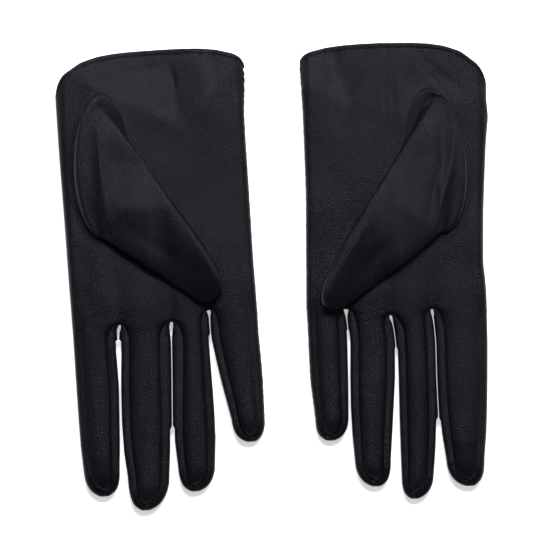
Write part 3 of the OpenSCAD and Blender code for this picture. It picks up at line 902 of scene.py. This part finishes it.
def store_rim(side, bm, column, row):
    """Writes on each rim vertex which way is out, and how far the wall bulges there."""
    layers = [bm.verts.layers.float.new(name) for name in ("out_x", "out_y", "bulge")]
    tree = silhouette(side)
    for v in bm.verts:
        edges = [e for e in v.link_edges if e.is_boundary]
        edges = [e for e in edges if not all(w[row] == ROWS for w in e.verts)]
        if not edges:
            continue
        out = Vector((0, 0, 0))
        for e in edges:
            along = (e.verts[1].co - e.verts[0].co).normalized()
            away = Vector((along.y, -along.x, 0))
            middle = (e.verts[0].co + e.verts[1].co) / 2
            out += away if away.dot(middle - e.link_faces[0].calc_center_median()) > 0 else -away
        out.normalize()
        reach = min(tree.find(v.co)[2] + 0.15, SEAM_INSET + 0.5)
        if v[column] in (0, COLUMNS) and v[row] >= FINGER_ROWS:
            reach = SEAM_INSET + 0.15
        elif 0 < v[column] < COLUMNS:
            half_gap, touching = slit_half_gap(side, v[column], v[row], v.co.x, v.co.y)
            reach = half_gap - SLIT_CLEARANCE if touching else min(reach, half_gap - SLIT_CLEARANCE)
        for layer, value in zip(layers, (out.x, out.y, max(reach, 0.3))):
            v[layer] = value
    return layers


print("walls keep", SLIT_CLEARANCE, "mm from the middle of a slit")

# %% [markdown]
# ## Pulling the walls
# One extrusion makes a row of faces along an edge, as a knitter adds a row. The walls, the hem and the
# thumb are all made this way.

# %% Walls
def extruded(bm, edges):
    """Extrudes edges and returns the fresh vertices, the edges between them, and the new faces."""
    made = bmesh.ops.extrude_edge_only(bm, edges=edges)["geom"]
    fresh = {g for g in made if isinstance(g, bmesh.types.BMVert)}
    ends = [g for g in made if isinstance(g, bmesh.types.BMEdge) and all(v in fresh for v in g.verts)]
    return fresh, ends, [g for g in made if isinstance(g, bmesh.types.BMFace)]


def extrude_walls(bm, row, level, kind):
    """Extrudes the palm's rim in small steps, leaving out the cuff."""
    rim = [e for e in bm.edges if e.is_boundary and e.link_faces[0][kind] == 0]
    rim = [e for e in rim if not all(v[row] == ROWS for v in e.verts)]
    for step in range(1, WALL_STEPS + 1):
        fresh, rim, faces = extruded(bm, rim)
        for v in fresh:
            v[level] = step / WALL_STEPS
        for f in faces:
            f[kind] = 2


print("walls are pulled in", WALL_STEPS, "steps")

# %% [markdown]
# ## Where a vertex is on the hand
# Its shaping needs the place, the share across the finger and the hand, and the nearest arch and tip.

# %% Vertex facts
def vertex_facts(side, bm, column, row):
    facts = []
    for v in bm.verts:
        number, place = divmod(v[column], PITCH)
        share = place / FINGER_COLUMNS if place <= FINGER_COLUMNS else 0.0
        tip = OUTLINE[side, FINGERS[number]][0, 0] if v[row] < FINGER_ROWS else -99
        facts.append((v.co.x, v.co.y, share, v[column] / COLUMNS, arch_y(side, v.co.x), tip, number))
    return np.array(facts, float)


print("facts can be read")

# %% [markdown]
# ## Giving every vertex its place
# The palm lies at the top with its folds, the back at the bottom, and a wall runs between them as a
# half wave. Sewn seams pull the cloth in by a small groove.

# %% Shaping
def shape_body(side, bm, layers):
    """Gives every vertex its place: palm, wall or back, with the folds on top."""
    column, row, level, is_back, out_x, out_y, bulge = layers
    facts = vertex_facts(side, bm, column, row)
    x, y, share = facts[:, 0], facts[:, 1], facts[:, 2]
    seam, top, back, to_hand = base_heights(side, facts)
    stored = np.array([[v[layer] for layer in (level, is_back, out_x, out_y, bulge, column, row)]
                       for v in bm.verts])
    h, backs, ox, oy, reach, columns, rows = stored.T
    on_rim = reach > 0
    sewn = on_rim & (((columns > 0) & (columns < COLUMNS)) | (rows == 0))
    relief_here = relief(side, x, y) * (0.55 + 0.45 * to_hand)
    nearest = np.where(share < 0.5, share, 1 - share)
    folded = ((facts[:, 6] == 0) & (share < 0.5)) | ((facts[:, 6] == 3) & (share >= 0.5))
    sewing = 0.035 * np.sin(y * 2 * math.pi / 3.1 + columns) * np.exp(-nearest * 11 / 1.6)
    sewing = np.where(folded | (rows >= FINGER_ROWS), 0, sewing)
    palm_z = top + relief_here + sewing - SEAM_GROOVE * sewn
    slow = ripple(x, y, BACK_SEED)
    back_z = np.maximum(back + 0.3 * slow, 0.12)
    sweep = np.sin(math.pi * h) ** np.where(sewn, 0.75, 1.0)
    from_cuff = np.clip((y - cuff_edge(side, x) + 26) / 26, 0, 1)
    lumps = (0.07 + 0.4 * from_cuff ** 2) * np.sin(y * 1.5 + 1.3 * np.sin(y * 0.55))
    pucker = np.where(columns == COLUMNS, lumps * np.sin(math.pi * h) ** 4, 0)
    new_x = x + ox * (reach * sweep + pucker)
    new_y = y + oy * (reach * sweep + pucker)
    in_hand = (rows >= FINGER_ROWS) & on_rim
    low = facts[:, 4]
    stretch = (cuff_edge(side, new_x) - low) / np.maximum(cuff_edge(side, x) - low, 1)
    new_y = np.where(in_hand, low + (new_y - low) * stretch, new_y)
    puff = np.where(sewn, 0.75, 0.25) * np.sin(math.pi * np.clip(h * 1.6, 0, 1)) ** 0.8
    fade = (1 - h) ** 2
    wall_top = seam + relief_here + sewing - SEAM_GROOVE * sewn * fade
    wall_z = back_z + (wall_top - back_z) * (1 + np.cos(math.pi * h)) / 2 + puff
    z = np.where(h > 0, np.where(h > 0.999, back_z, wall_z), np.where(backs > 0, back_z, palm_z))
    side_way = np.sign(ox + 1e-6)
    grain_x = np.where(backs > 0, x, x + side_way * h * 12)
    for v, place in zip(bm.verts, np.column_stack((new_x, new_y, z))):
        v.co = place
    return grain_x, y


print("shaping ready")

# %% [markdown]
# ## Which cloth and which body
# A face is trank, fourchette, fingertip patch or hem, and it moves with the hand or with one length
# of a finger. Faces inside the thumb's oval are marked, because the hole is cut there.

# %% Tags
def joint_row(side, number):
    """The row where a finger's lower and upper pieces part, a little above its middle joint."""
    target = joint_y(side, f"{FINGERS[number]}_middle_joint") + 6.0
    ys = [finger_place(side, number, 0.5, row / FINGER_ROWS)[1] for row in range(FINGER_ROWS)]
    return int(np.argmin(np.abs(np.array(ys) - target)))


HAND, LOWER, UPPER = 0, 1, 5
TRANK, FOURCHETTE, PATCH, HEM, GONE = 0, 1, 2, 3, 4
PATCH_SEAM_Y = {"right": -59.0, "left": -55.7}


def tag_faces(side, bm, column, row, kind):
    """Says which body each face moves with, and which piece of cloth it is."""
    body = bm.faces.layers.int.new("body")
    cloth = bm.faces.layers.int.new("cloth")
    cuts = [joint_row(side, number) for number in range(4)]
    patch_rows = [r for r in range(FINGER_ROWS)
                  if finger_place(side, 0, 0.5, r / FINGER_ROWS)[1] < PATCH_SEAM_Y[side]]
    for f in bm.faces:
        rows = [v[row] for v in f.verts]
        columns = [v[column] for v in f.verts]
        number = max(columns) // PITCH
        in_finger = min(rows) < FINGER_ROWS
        if in_finger:
            f[body] = (LOWER if min(rows) >= cuts[number] else UPPER) + number
        if f[kind] == 2 and in_finger and not (max(columns) == 0 or min(columns) == COLUMNS):
            f[cloth] = FOURCHETTE
        elif f[kind] == 0 and number == 0 and max(rows) <= patch_rows[-1]:
            f[cloth] = PATCH
        elif f[kind] == 0 and all(oval_share(side, v.co.x, v.co.y, 2.2) < 1 for v in f.verts):
            f[cloth] = GONE
    return body, cloth


print("patch seams at", PATCH_SEAM_Y)

# %% [markdown]
# ## Turning in the hem
# A hem is folded inwards and sewn down. The open edge is extruded in, then back along the glove.

# %% Hem
def turn_in_hem(bm, body, cloth):
    """Folds the cloth at the cuff inwards and runs it back inside the glove."""
    edges = [e for e in bm.edges if e.is_boundary]
    bm.normal_update()
    inward = {v: -v.normal for e in edges for v in e.verts}
    start = {v: v.co.copy() for v in inward}
    source = {v: v for v in inward}
    for depth in (0.0, *HEM_STEPS):
        fresh, edges, faces = extruded(bm, edges)
        moved = {}
        for v in fresh:
            old = next(e.other_vert(v) for e in v.link_edges if e.other_vert(v) in source)
            root = source[old]
            moved[v] = root
            v.co = start[root] + inward[root] * (0.55 if depth else 0.3) + Vector((0, -depth, 0))
        source = moved
        for f in faces:
            f[body], f[cloth] = HAND, HEM


print("hem", HEM_STEPS[-1], "mm deep")

# %% [markdown]
# ## Building both bodies
# The steps now run in order: lay the sheet, copy it for the back, pull the walls, shape, join, tag
# and hem.

# %% Body mesh
def body_mesh(side):
    """The body of one glove in its own millimetres, shaped and tagged."""
    bm, column, row = slit_sheet()
    for v in bm.verts:
        v.co = (*sheet_place(side, v[column], v[row]), 0)
    level = bm.verts.layers.float.new("wall_level")
    is_back = bm.verts.layers.int.new("is_back")
    kind = bm.faces.layers.int.new("kind")
    rim_layers = store_rim(side, bm, column, row)
    copied = bmesh.ops.duplicate(bm, geom=list(bm.verts) + list(bm.edges) + list(bm.faces))["geom"]
    for element in copied:
        if isinstance(element, bmesh.types.BMVert):
            element[is_back] = 1
            for layer in rim_layers:
                element[layer] = 0
        elif isinstance(element, bmesh.types.BMFace):
            element[kind] = 1
    bmesh.ops.reverse_faces(bm, faces=[f for f in bm.faces if f[kind] == 1])
    extrude_walls(bm, row, level, kind)
    grain_x, grain_y = shape_body(side, bm, (column, row, level, is_back, *rim_layers))
    pattern = bm.verts.layers.float_vector.new("pattern")
    for v, gx, gy in zip(bm.verts, grain_x, grain_y):
        v[pattern] = (gx, gy, 0)
    meeting = [v for v in bm.verts if v[is_back] or v[level] > 0.99]
    bmesh.ops.remove_doubles(bm, verts=meeting, dist=0.002)
    body, cloth = tag_faces(side, bm, column, row, kind)
    turn_in_hem(bm, body, cloth)
    return bm


MASTER = {side: body_mesh(side) for side in SIDES}
for side, bm in MASTER.items():
    print(side, "body:", len(bm.verts), "vertices,", len(bm.faces), "faces")

# %% [markdown]
# ## From mesh to pieces
# A cutter numbers each piece of cloth, and each one here becomes its own object: the trank over the
# hand, its two lengths over each finger, the fourchettes, the fingertip patch and the hem. At a seam
# the pieces simply share an edge. Where one cloth only passes a joint, both objects keep one more row
# than they need, sunk a hair below the other, so that the surface runs on without a visible line.

# %% Mesh to object
TUCK = 0.04


def to_object(side, bm, name, material, levels=1):
    """Turns a mesh in a glove's own millimetres into a smooth object in the frame."""
    ruler = RULER[side]
    matrix = Matrix.Identity(4)
    for i, direction in enumerate((ruler.across, ruler.along, Vector((0, 0, 1)))):
        matrix.col[i][:3] = direction * MM
    matrix.col[3][:3] = ruler.origin
    bmesh.ops.transform(bm, matrix=matrix, verts=bm.verts)
    if matrix.determinant() < 0:
        bmesh.ops.reverse_faces(bm, faces=bm.faces)
    for f in bm.faces:
        f.smooth = True
    pattern = bm.verts.layers.float_vector.get("pattern")
    uv = bm.loops.layers.uv.new("grain")
    if pattern:
        for f in bm.faces:
            for corner in f.loops:
                corner[uv].uv = corner.vert[pattern].xy
    mesh = bpy.data.meshes.new(name)
    bm.to_mesh(mesh)
    bm.free()
    for unused in ("column", "row", "wall_level", "is_back", "out_x", "out_y", "bulge", "pattern",
                   "kind", "body", "cloth"):
        if unused in mesh.attributes and mesh.attributes[unused].domain != "CORNER":
            mesh.attributes.remove(mesh.attributes[unused])
    mesh.materials.append(material)
    obj = bpy.data.objects.new(name, mesh)
    scene.collection.objects.link(obj)
    if levels:
        smooth = obj.modifiers.new("smooth_cloth", "SUBSURF")
        smooth.levels = smooth.render_levels = levels
    return obj


print("objects can be made")

# %% [markdown]
# ## Cutting one piece
# The faces of one piece are kept, with one more row where the same cloth runs on past a joint.

# %% Cutting tool
def cut_piece(side, name, body_number, cloth_number, material):
    """One piece of cloth of one body, cut out of the glove's master mesh."""
    bm = MASTER[side].copy()
    body, cloth = bm.faces.layers.int["body"], bm.faces.layers.int["cloth"]
    bm.normal_update()
    core = [f for f in bm.faces if f[body] == body_number and f[cloth] == cloth_number]
    core_verts = {v for f in core for v in f.verts}
    near = {f for v in core_verts for f in v.link_faces}
    tuck = {f for f in near if f[cloth] == cloth_number and f[body] != body_number}
    sunk = [(v, v.normal.copy()) for v in {v for f in tuck for v in f.verts} - core_verts]
    for v, normal in sunk:
        v.co -= normal * TUCK
    kept = set(core) | tuck
    bmesh.ops.delete(bm, geom=[f for f in bm.faces if f not in kept], context="FACES")
    return to_object(side, bm, name, material)


print("pieces can be cut")

# %% [markdown]
# ## The size each piece was cut to
# A cutter measures the pattern and not the finished glove, so the widths come from the outline laid
# flat. Both rest on one outline, and the fourchettes' 13 mm was picked when their modelled height of 11
# to 14 mm was already known. The hem is a 7 mm strip. A side under 10 mm is not taken, so it is given
# 10.2 mm and the strip's true area. The outer side of the index and little finger has no fourchette,
# because the trank wraps round it.


# %% [markdown]
# ## Hand and fingers
# The hand rides on its own body. The lengths of a finger stay where they were laid, with their placement
# baked into their meshes.

# %% Names and baked placement
BEND_LENGTH = 9.0
CAD_NODES = {}
for finger in ("index", "little"):
    for length, part in (("lower", "base"), ("upper", "tip")):
        CAD_NODES[finger, length, TRANK] = (f"{finger}_{part}",)
        CAD_NODES[finger, length, FOURCHETTE] = (f"{finger}_{part}_fourchette",)
for finger in ("middle", "ring"):
    for length, part in (("lower", "base"), ("upper", "tip")):
        CAD_NODES[finger, length, TRANK] = (f"{finger}_{part}_palm", f"{finger}_{part}_back")
    CAD_NODES[finger, "lower", FOURCHETTE] = (f"{finger}_base_fourchette_a", f"{finger}_base_fourchette_b")
    CAD_NODES[finger, "upper", FOURCHETTE] = (f"{finger}_tip_fourchettes",)


def stands_for(side, names):
    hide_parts(*[f"{side}_{name}" for name in names])


def bend(obj, side, y):
    """Bakes a piece's placement into its mesh; the points at y and nine millimetres below it are found and
    not used.
    """
    ruler = RULER[side]
    ruler.point(0, y, 8)
    ruler.point(0, y - BEND_LENGTH, 8)
    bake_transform(obj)


print("finger pieces:", len(CAD_NODES), "kinds")

# %% [markdown]
# ## The hand and its hem
# The hand's cut is its rectangle less the oval hole. The hem is a strip round the whole cuff.

# %% Hands and hems
HAND_NODES = ("palm_panel", "back_panel", "thumb_side_fold", "outer_side_fold")


def make_hand(side):
    hand = cut_piece(side, f"{side}_hand_trank", HAND, TRANK, SATIN)
    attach(hand, f"{side}_hand")
    stands_for(side, HAND_NODES)


def make_hem(side):
    hem = cut_piece(side, f"{side}_turned_hem", HAND, HEM, LINING)
    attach(hem, f"{side}_hand")
    stands_for(side, ("cuff_hem",))


print("a hand stands for", len(HAND_NODES), "CAD nodes")

# %% [markdown]
# ## The fingers
# Each length of a finger is a trank piece and its fourchettes, and the index finger ends in the patch.

# %% Fingers
CLOTHS = ((TRANK, "trank", "palm_knit"), (FOURCHETTE, "fourchettes", "fourchette"))


def make_finger(side, number, finger):
    lowest_arch = min(top[1] for top in ARCH_TOPS[side])
    middle_y = joint_y(side, f"{finger}_middle_joint")
    for length, base in (("lower", LOWER), ("upper", UPPER)):
        for cloth, word, slot in CLOTHS:
            piece = cut_piece(side, f"{side}_{finger}_{length}_{word}", base + number, cloth, SATIN)
            stands_for(side, CAD_NODES[finger, length, cloth])
            if length == "lower":
                bend(piece, side, lowest_arch - 1.5)
            else:
                bend(piece, side, middle_y + BEND_LENGTH / 2)


def make_patch(side):
    patch = cut_piece(side, f"{side}_fingertip_patch", UPPER, PATCH, PATCH_SATIN)
    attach(patch, f"{side}_index_upper")
    stands_for(side, ("touch_patch",))


for side in SIDES:
    make_hand(side)
    make_hem(side)
    for number, finger in enumerate(FINGERS):
        make_finger(side, number, finger)
    make_patch(side)

# %% [markdown]
# ## The set-in thumb
# A thumb stall is a tapered tube sewn into the palm's oval. Its rim is a circle of vertices laid on that
# oval, and the tube is that circle extruded again and again towards the tip. The half of the circle on
# the outer edge becomes the top of the folded thumb, and the other half its underside. Only the rim is
# sewn to the palm.

# %% Thumb sizes and folds
THUMB_SEGMENTS = 96
THUMB_RINGS = 112
THUMB_HEIGHT = 6.2
RIM_Z = 10.0
POCKET_DEPTH = 1.7
THUMB_LEAN = 3.8
BOW_ENDS, RISE_ENDS, POCKET_ENDS, LEAN_STARTS, TIP_STARTS = 0.5, 0.05, 0.16, 0.42, 0.9
THUMB_FOLDS = {
    "right": (
        (((-26, 112), (-27.6, 99), (-27.5, 74), (-27, 54)), 3.0, 1.5, 1.1),
        (((-20, 104), (-20, 84), (-18, 68)), 3.6, -0.7),
        (((5, 61), (-8, 59.5), (-18, 59.8), (-27, 52)), 6.5, 1.8, 1.1),
        (((-5, 79), (-17, 62)), 2.6, 0.7, 1.3),
        (((-24, 84), (-12, 82), (6, 80)), 12.0, -2.2, 1.7),
        (((-34, 96), (-36, 80), (-33, 64)), 3.0, 0.5),
        (((-16, 50), (2, 38), (17, 22)), 3.4, -0.4),
        (((16, 44), (25, 24)), 2.2, 0.4),
    ),
    "left": (
        (((-28, 100), (-27.9, 87), (-26.3, 76), (-23.3, 66), (-20.7, 55), (-18, 45)), 2.6, 1.7, 1.1),
        (((-22.5, 98), (-22.5, 82), (-19, 68), (-16, 54)), 2.6, -0.9),
        (((-12, 104), (-8, 86), (-4, 70)), 3.6, 0.6, 1.3),
        (((-20, 84), (-8, 82), (8, 78)), 12.0, -1.4, 1.7),
        (((2, 66), (-6, 56), (-16, 50)), 6.0, 0.9, 1.2),
        (((-4, 46), (10, 36), (24, 22)), 3.6, -0.4),
        (((14, 52), (27, 30)), 2.4, 0.45),
    ),
}
print("thumb folds:", {side: len(THUMB_FOLDS[side]) for side in SIDES})

# %% [markdown]
# ## The outline of the folded thumb
# Seen from above the folded thumb has two long edges, from the ends of the oval to the tip. They are
# traced from the CAD solid's outline.

# %% Thumb outline
def thumb_edges(side):
    """The two long edges of the folded thumb as seen from above, each from the oval's end to the tip."""
    mesh = frame["nodes"][f"{side}_thumb"].data
    points = RULER[side].own_from([v.co for v in mesh.vertices])[:, :2]
    hull = geometry.convex_hull_2d([Vector(p) for p in points])
    ring = np.array([points[i] for i in hull])
    tip = int(np.argmax(ring[:, 0] - ring[:, 1]))
    ring = np.roll(ring, -tip, axis=0)
    ring = np.vstack([ring, ring[:1]])
    cx, cy, half_width, half_length, turn = OVAL[side]
    turn = math.radians(turn)
    ends = [np.array((cx - sign * half_length * math.sin(turn), cy + sign * half_length * math.cos(turn)))
            for sign in (-1, 1)]
    paths = []
    steps = np.hypot(*np.diff(ring, axis=0).T)
    at = np.concatenate([[0], np.cumsum(steps)])
    fine = np.linspace(0, at[-1], 900)
    dense = np.column_stack([np.interp(fine, at, ring[:, k]) for k in (0, 1)])
    for end in ends:
        nearest = int(np.argmin(np.hypot(*(dense - end).T)))
        path = dense[:nearest + 1][::-1] if nearest < 450 else dense[nearest:]
        paths.append(np.vstack([end, path[3:]]))
    if paths[0][len(paths[0]) // 2][1] > paths[1][len(paths[1]) // 2][1]:
        print(side, "thumb edges crossed")
    return paths


def along_path(path, u):
    at = np.concatenate([[0], np.cumsum(np.hypot(*np.diff(path, axis=0).T))])
    return np.column_stack([np.interp(u * at[-1], at, path[:, k]) for k in (0, 1)])


print("thumb outlines can be traced")

# %% [markdown]
# ## Rings along the thumb
# Ring by ring the oval opens out into a flattened tube. Near the palm a pocket sinks under it. The far
# half leans over, but stays at least a millimetre above the rim.

# %% Thumb rings
def thumb_ring_places(side):
    """x, y, z for every ring and every vertex round it."""
    lower, upper = thumb_edges(side)
    u = np.linspace(0, 1, THUMB_RINGS + 1) ** 1.35
    a, b = along_path(lower, u), along_path(upper, u)
    phi = np.arange(THUMB_SEGMENTS) * 2 * math.pi / THUMB_SEGMENTS
    cx, cy, half_width, half_length, turn = OVAL[side]
    turn = math.radians(turn)
    rim_u, rim_v = half_width * np.cos(phi), half_length * np.sin(phi)
    rim = np.column_stack([cx + rim_u * math.cos(turn) - rim_v * math.sin(turn),
                           cy + rim_u * math.sin(turn) + rim_v * math.cos(turn)])
    flat = np.sign(np.sin(phi)) * np.abs(np.sin(phi)) ** 0.85
    places = np.zeros((THUMB_RINGS + 1, THUMB_SEGMENTS, 3))
    line = (a[0] + b[0]) / 2 + flat[:, None] * (b[0] - a[0]) / 2
    bow = rim - line
    for i, ui in enumerate(u):
        straightness = max(0.0, 1 - ui / BOW_ENDS) ** 1.6
        xy = (a[i] + b[i]) / 2 + flat[:, None] * (b[i] - a[i]) / 2 + bow * straightness
        width = np.hypot(*(b[i] - a[i]))
        rise = math.sqrt(1 - (1 - min(ui / RISE_ENDS, 1)) ** 2)
        closing = math.sqrt(max(0.0, 1 - max(0, (ui - TIP_STARTS) / 0.1) ** 2))
        height = min(THUMB_HEIGHT * rise, width * 0.62 + 0.4) * (0.25 + 0.75 * closing)
        pocket = POCKET_DEPTH * math.sin(math.pi * min(ui / POCKET_ENDS, 1)) ** 0.8
        under = RIM_Z + 1.1 * max(0.0, min((ui - POCKET_ENDS) / 0.24, 1)) ** 1.2 - pocket
        around = -np.cos(phi)
        section = np.sign(around) * np.abs(around) ** 0.75
        lean = THUMB_LEAN * max(0.0, min((ui - LEAN_STARTS) / 0.12, 1)) * closing
        z = under + height * (section + 1) / 2 + lean * flat * (section + 1) / 2
        z = np.maximum(z, under + 0.35 * (section + 1) / 2)
        if i == 0:
            z = np.full(THUMB_SEGMENTS, RIM_Z)
        places[i] = np.column_stack([xy, z])
    return places


print("thumb rings:", THUMB_RINGS)

# %% [markdown]
# ## The thumb's own folds
# They are measured as on the palm.

# %% Thumb relief
THUMB_SEED = {"right": 31, "left": 47}


def thumb_relief(side, x, y):
    total = 0.5 * ripple(x, y, THUMB_SEED[side])
    for fold in THUMB_FOLDS[side]:
        total = total + fold_height(x, y, *fold)
    return total


print("thumb seeds:", THUMB_SEED)

# %% [markdown]
# ## The thumb as one swept tube
# A circle is extruded ring by ring, and the vertices are then laid on the rings. The folds are added
# to the top half only, and fade out at the sewn rim and at the tip.

# %% Thumb mesh
def thumb_mesh(side):
    places = thumb_ring_places(side)
    bm = bmesh.new()
    bmesh.ops.create_circle(bm, cap_ends=False, segments=THUMB_SEGMENTS, radius=1)
    segment = bm.verts.layers.int.new("segment")
    ring = bm.verts.layers.int.new("ring")
    pattern = bm.verts.layers.float_vector.new("pattern")
    for v in bm.verts:
        turned = math.atan2(v.co.y, v.co.x) / (2 * math.pi)
        v[segment] = round(turned * THUMB_SEGMENTS) % THUMB_SEGMENTS
    edges = list(bm.edges)
    for number in range(1, THUMB_RINGS + 1):
        fresh, edges, _ = extruded(bm, edges)
        for v in fresh:
            v[ring] = number
    index = np.array([(v[ring], v[segment]) for v in bm.verts])
    spots = places[index[:, 0], index[:, 1]]
    around = -np.cos(index[:, 1] * 2 * math.pi / THUMB_SEGMENTS)
    started = np.clip(index[:, 0] / 10, 0, 1) * np.clip((THUMB_RINGS - index[:, 0]) / 12, 0, 1)
    spots[:, 2] += thumb_relief(side, spots[:, 0], spots[:, 1]) * np.clip(around, 0, 1) ** 0.6 * started
    free = index[:, 0] > THUMB_RINGS * 0.5
    spots[free, 2] = np.maximum(spots[free, 2], RIM_Z + 1.0 + 0.3 * np.clip(around[free], 0, 1))
    for v, spot in zip(bm.verts, spots):
        v.co = spot
        v[pattern] = (spot[0] * 0.75 + spot[1] * 0.66, spot[1] * 0.75 - spot[0] * 0.66, 0)
    last = [v for v in bm.verts if v[ring] == THUMB_RINGS]
    middle = sum((v.co for v in last), Vector()) / len(last)
    bmesh.ops.pointmerge(bm, verts=last, merge_co=middle)
    bmesh.ops.recalc_face_normals(bm, faces=bm.faces)
    if sum(f.normal.z for f in bm.faces if f.calc_center_median().z > 14) < 0:
        bmesh.ops.reverse_faces(bm, faces=bm.faces)
    return bm


print("thumb mesh ready")

# %% [markdown]
# ## The thumb stalls
# Each stall becomes its own object in the frame, in place of the CAD thumb. The stall is cut to twice
# its folded width.

# %% Thumb stalls
for side in SIDES:
    thumb = to_object(side, thumb_mesh(side), f"{side}_thumb_stall", SATIN)
    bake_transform(thumb)
    stands_for(side, ("thumb",))
    lower, upper = (along_path(path, np.linspace(0, 1, 60)) for path in thumb_edges(side))
    length = float(np.hypot(*np.diff((lower + upper) / 2, axis=0).T).sum())
    print(side, "thumb stall:", len(thumb.data.polygons), "faces")

# %% [markdown]
# ## Seam allowance round the thumb
# Inside the palm the two cut edges of the thumb's seam lie together as a narrow rolled welt. A circle
# of the welt's section is swept round the oval.

# %% Thumb seam
for side in SIDES:
    cx, cy, half_width, half_length, turn = OVAL[side]
    bm = bmesh.new()
    bmesh.ops.create_circle(bm, cap_ends=False, segments=8, radius=0.55)
    bmesh.ops.rotate(bm, verts=bm.verts, matrix=Matrix.Rotation(math.radians(90), 3, "X"))
    bmesh.ops.translate(bm, verts=bm.verts, vec=(1, 0, 0))
    bmesh.ops.spin(bm, geom=list(bm.edges), axis=(0, 0, 1), cent=(0, 0, 0), angle=2 * math.pi,
                   steps=90, use_merge=True)
    bmesh.ops.remove_doubles(bm, verts=bm.verts, dist=0.0001)
    pattern = bm.verts.layers.float_vector.new("pattern")
    for v in bm.verts:
        angle = math.atan2(v.co.y, v.co.x)
        radial = math.hypot(v.co.x, v.co.y) - 1
        out = Vector((math.cos(angle) * half_width, math.sin(angle) * half_length))
        spot = out + Vector((math.cos(angle), math.sin(angle))) * (radial - 0.6)
        spot.rotate(Matrix.Rotation(math.radians(turn), 2))
        v[pattern] = (angle * 25, radial * 3, 0)
        v.co = (cx + spot.x, cy + spot.y, 9.0 + v.co.z + 0.12 * math.sin(angle * 60))
    bmesh.ops.recalc_face_normals(bm, faces=bm.faces)
    welt = to_object(side, bm, f"{side}_thumb_seam_allowance", LINING, 0)
    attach(welt, f"{side}_hand")
    stands_for(side, ("thumb_seam",))
    print(side, "seam allowance:", len(welt.data.polygons), "faces")

# %% [markdown]
# ## Topstitching
# The hem is held by a double row of fine stitches. Each stitch is a tiny ball pulled out along the
# seam, set into the surface where a ray dropped from above or below meets the cloth.

# %% Stitches
STITCH_PITCH = 2.0
STITCH_LENGTH, STITCH_WIDTH = 0.78, 0.2


def stitches(side, name, rows):
    """Small stitches; each row is (points, from_above)."""
    tree = BVHTree.FromBMesh(MASTER[side])
    bm = bmesh.new()
    count = 0
    for points, from_above in rows:
        for a, b in zip(points[:-1:2], points[1::2]):
            middle = (Vector(a) + Vector(b)) / 2
            way = Vector((0, 0, -1 if from_above else 1))
            hit, normal, _, _ = tree.ray_cast(Vector((middle.x, middle.y, 0)) - way * 60, way)
            if hit is None:
                continue
            along = (Vector((b[0] - a[0], b[1] - a[1], 0))).normalized()
            along = (along - normal * along.dot(normal)).normalized()
            turn = Matrix((along, normal.cross(along), normal)).transposed()
            ball = bmesh.ops.create_icosphere(bm, subdivisions=1, radius=1)["verts"]
            bmesh.ops.scale(bm, verts=ball, vec=(STITCH_LENGTH, STITCH_WIDTH, 0.16))
            bmesh.ops.rotate(bm, verts=ball, matrix=turn)
            bmesh.ops.translate(bm, verts=ball, vec=hit + normal * 0.05)
            count += 1
    obj = to_object(side, bm, name, THREAD, 0)
    return obj, count


def cuff_row(side, below):
    xs = np.arange(-43, 42.5, STITCH_PITCH / 2)
    return [(x, float(cuff_edge(side, x)) - below) for x in xs]


print("stitches", STITCH_PITCH, "mm apart")

# %% [markdown]
# ## Sewing the hems
# Both rows run round the cuff, so they show on the palm and on the back.

# %% Topstitch
for side in SIDES:
    rows = [(cuff_row(side, below), above) for below in (1.7, 2.5) for above in (True, False)]
    topstitch, count = stitches(side, f"{side}_hem_topstitch", rows)
    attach(topstitch, f"{side}_hand")
    print(side, "topstitch:", count, "stitches")

# %% [markdown]
# ## The size of the finish
# The cloth may stand a little proud of the CAD solids, so the box round everything shown is printed.

# %% Finish
low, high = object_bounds()
print("visual box", [round(v * 1000, 1) for v in (*low, *high)])
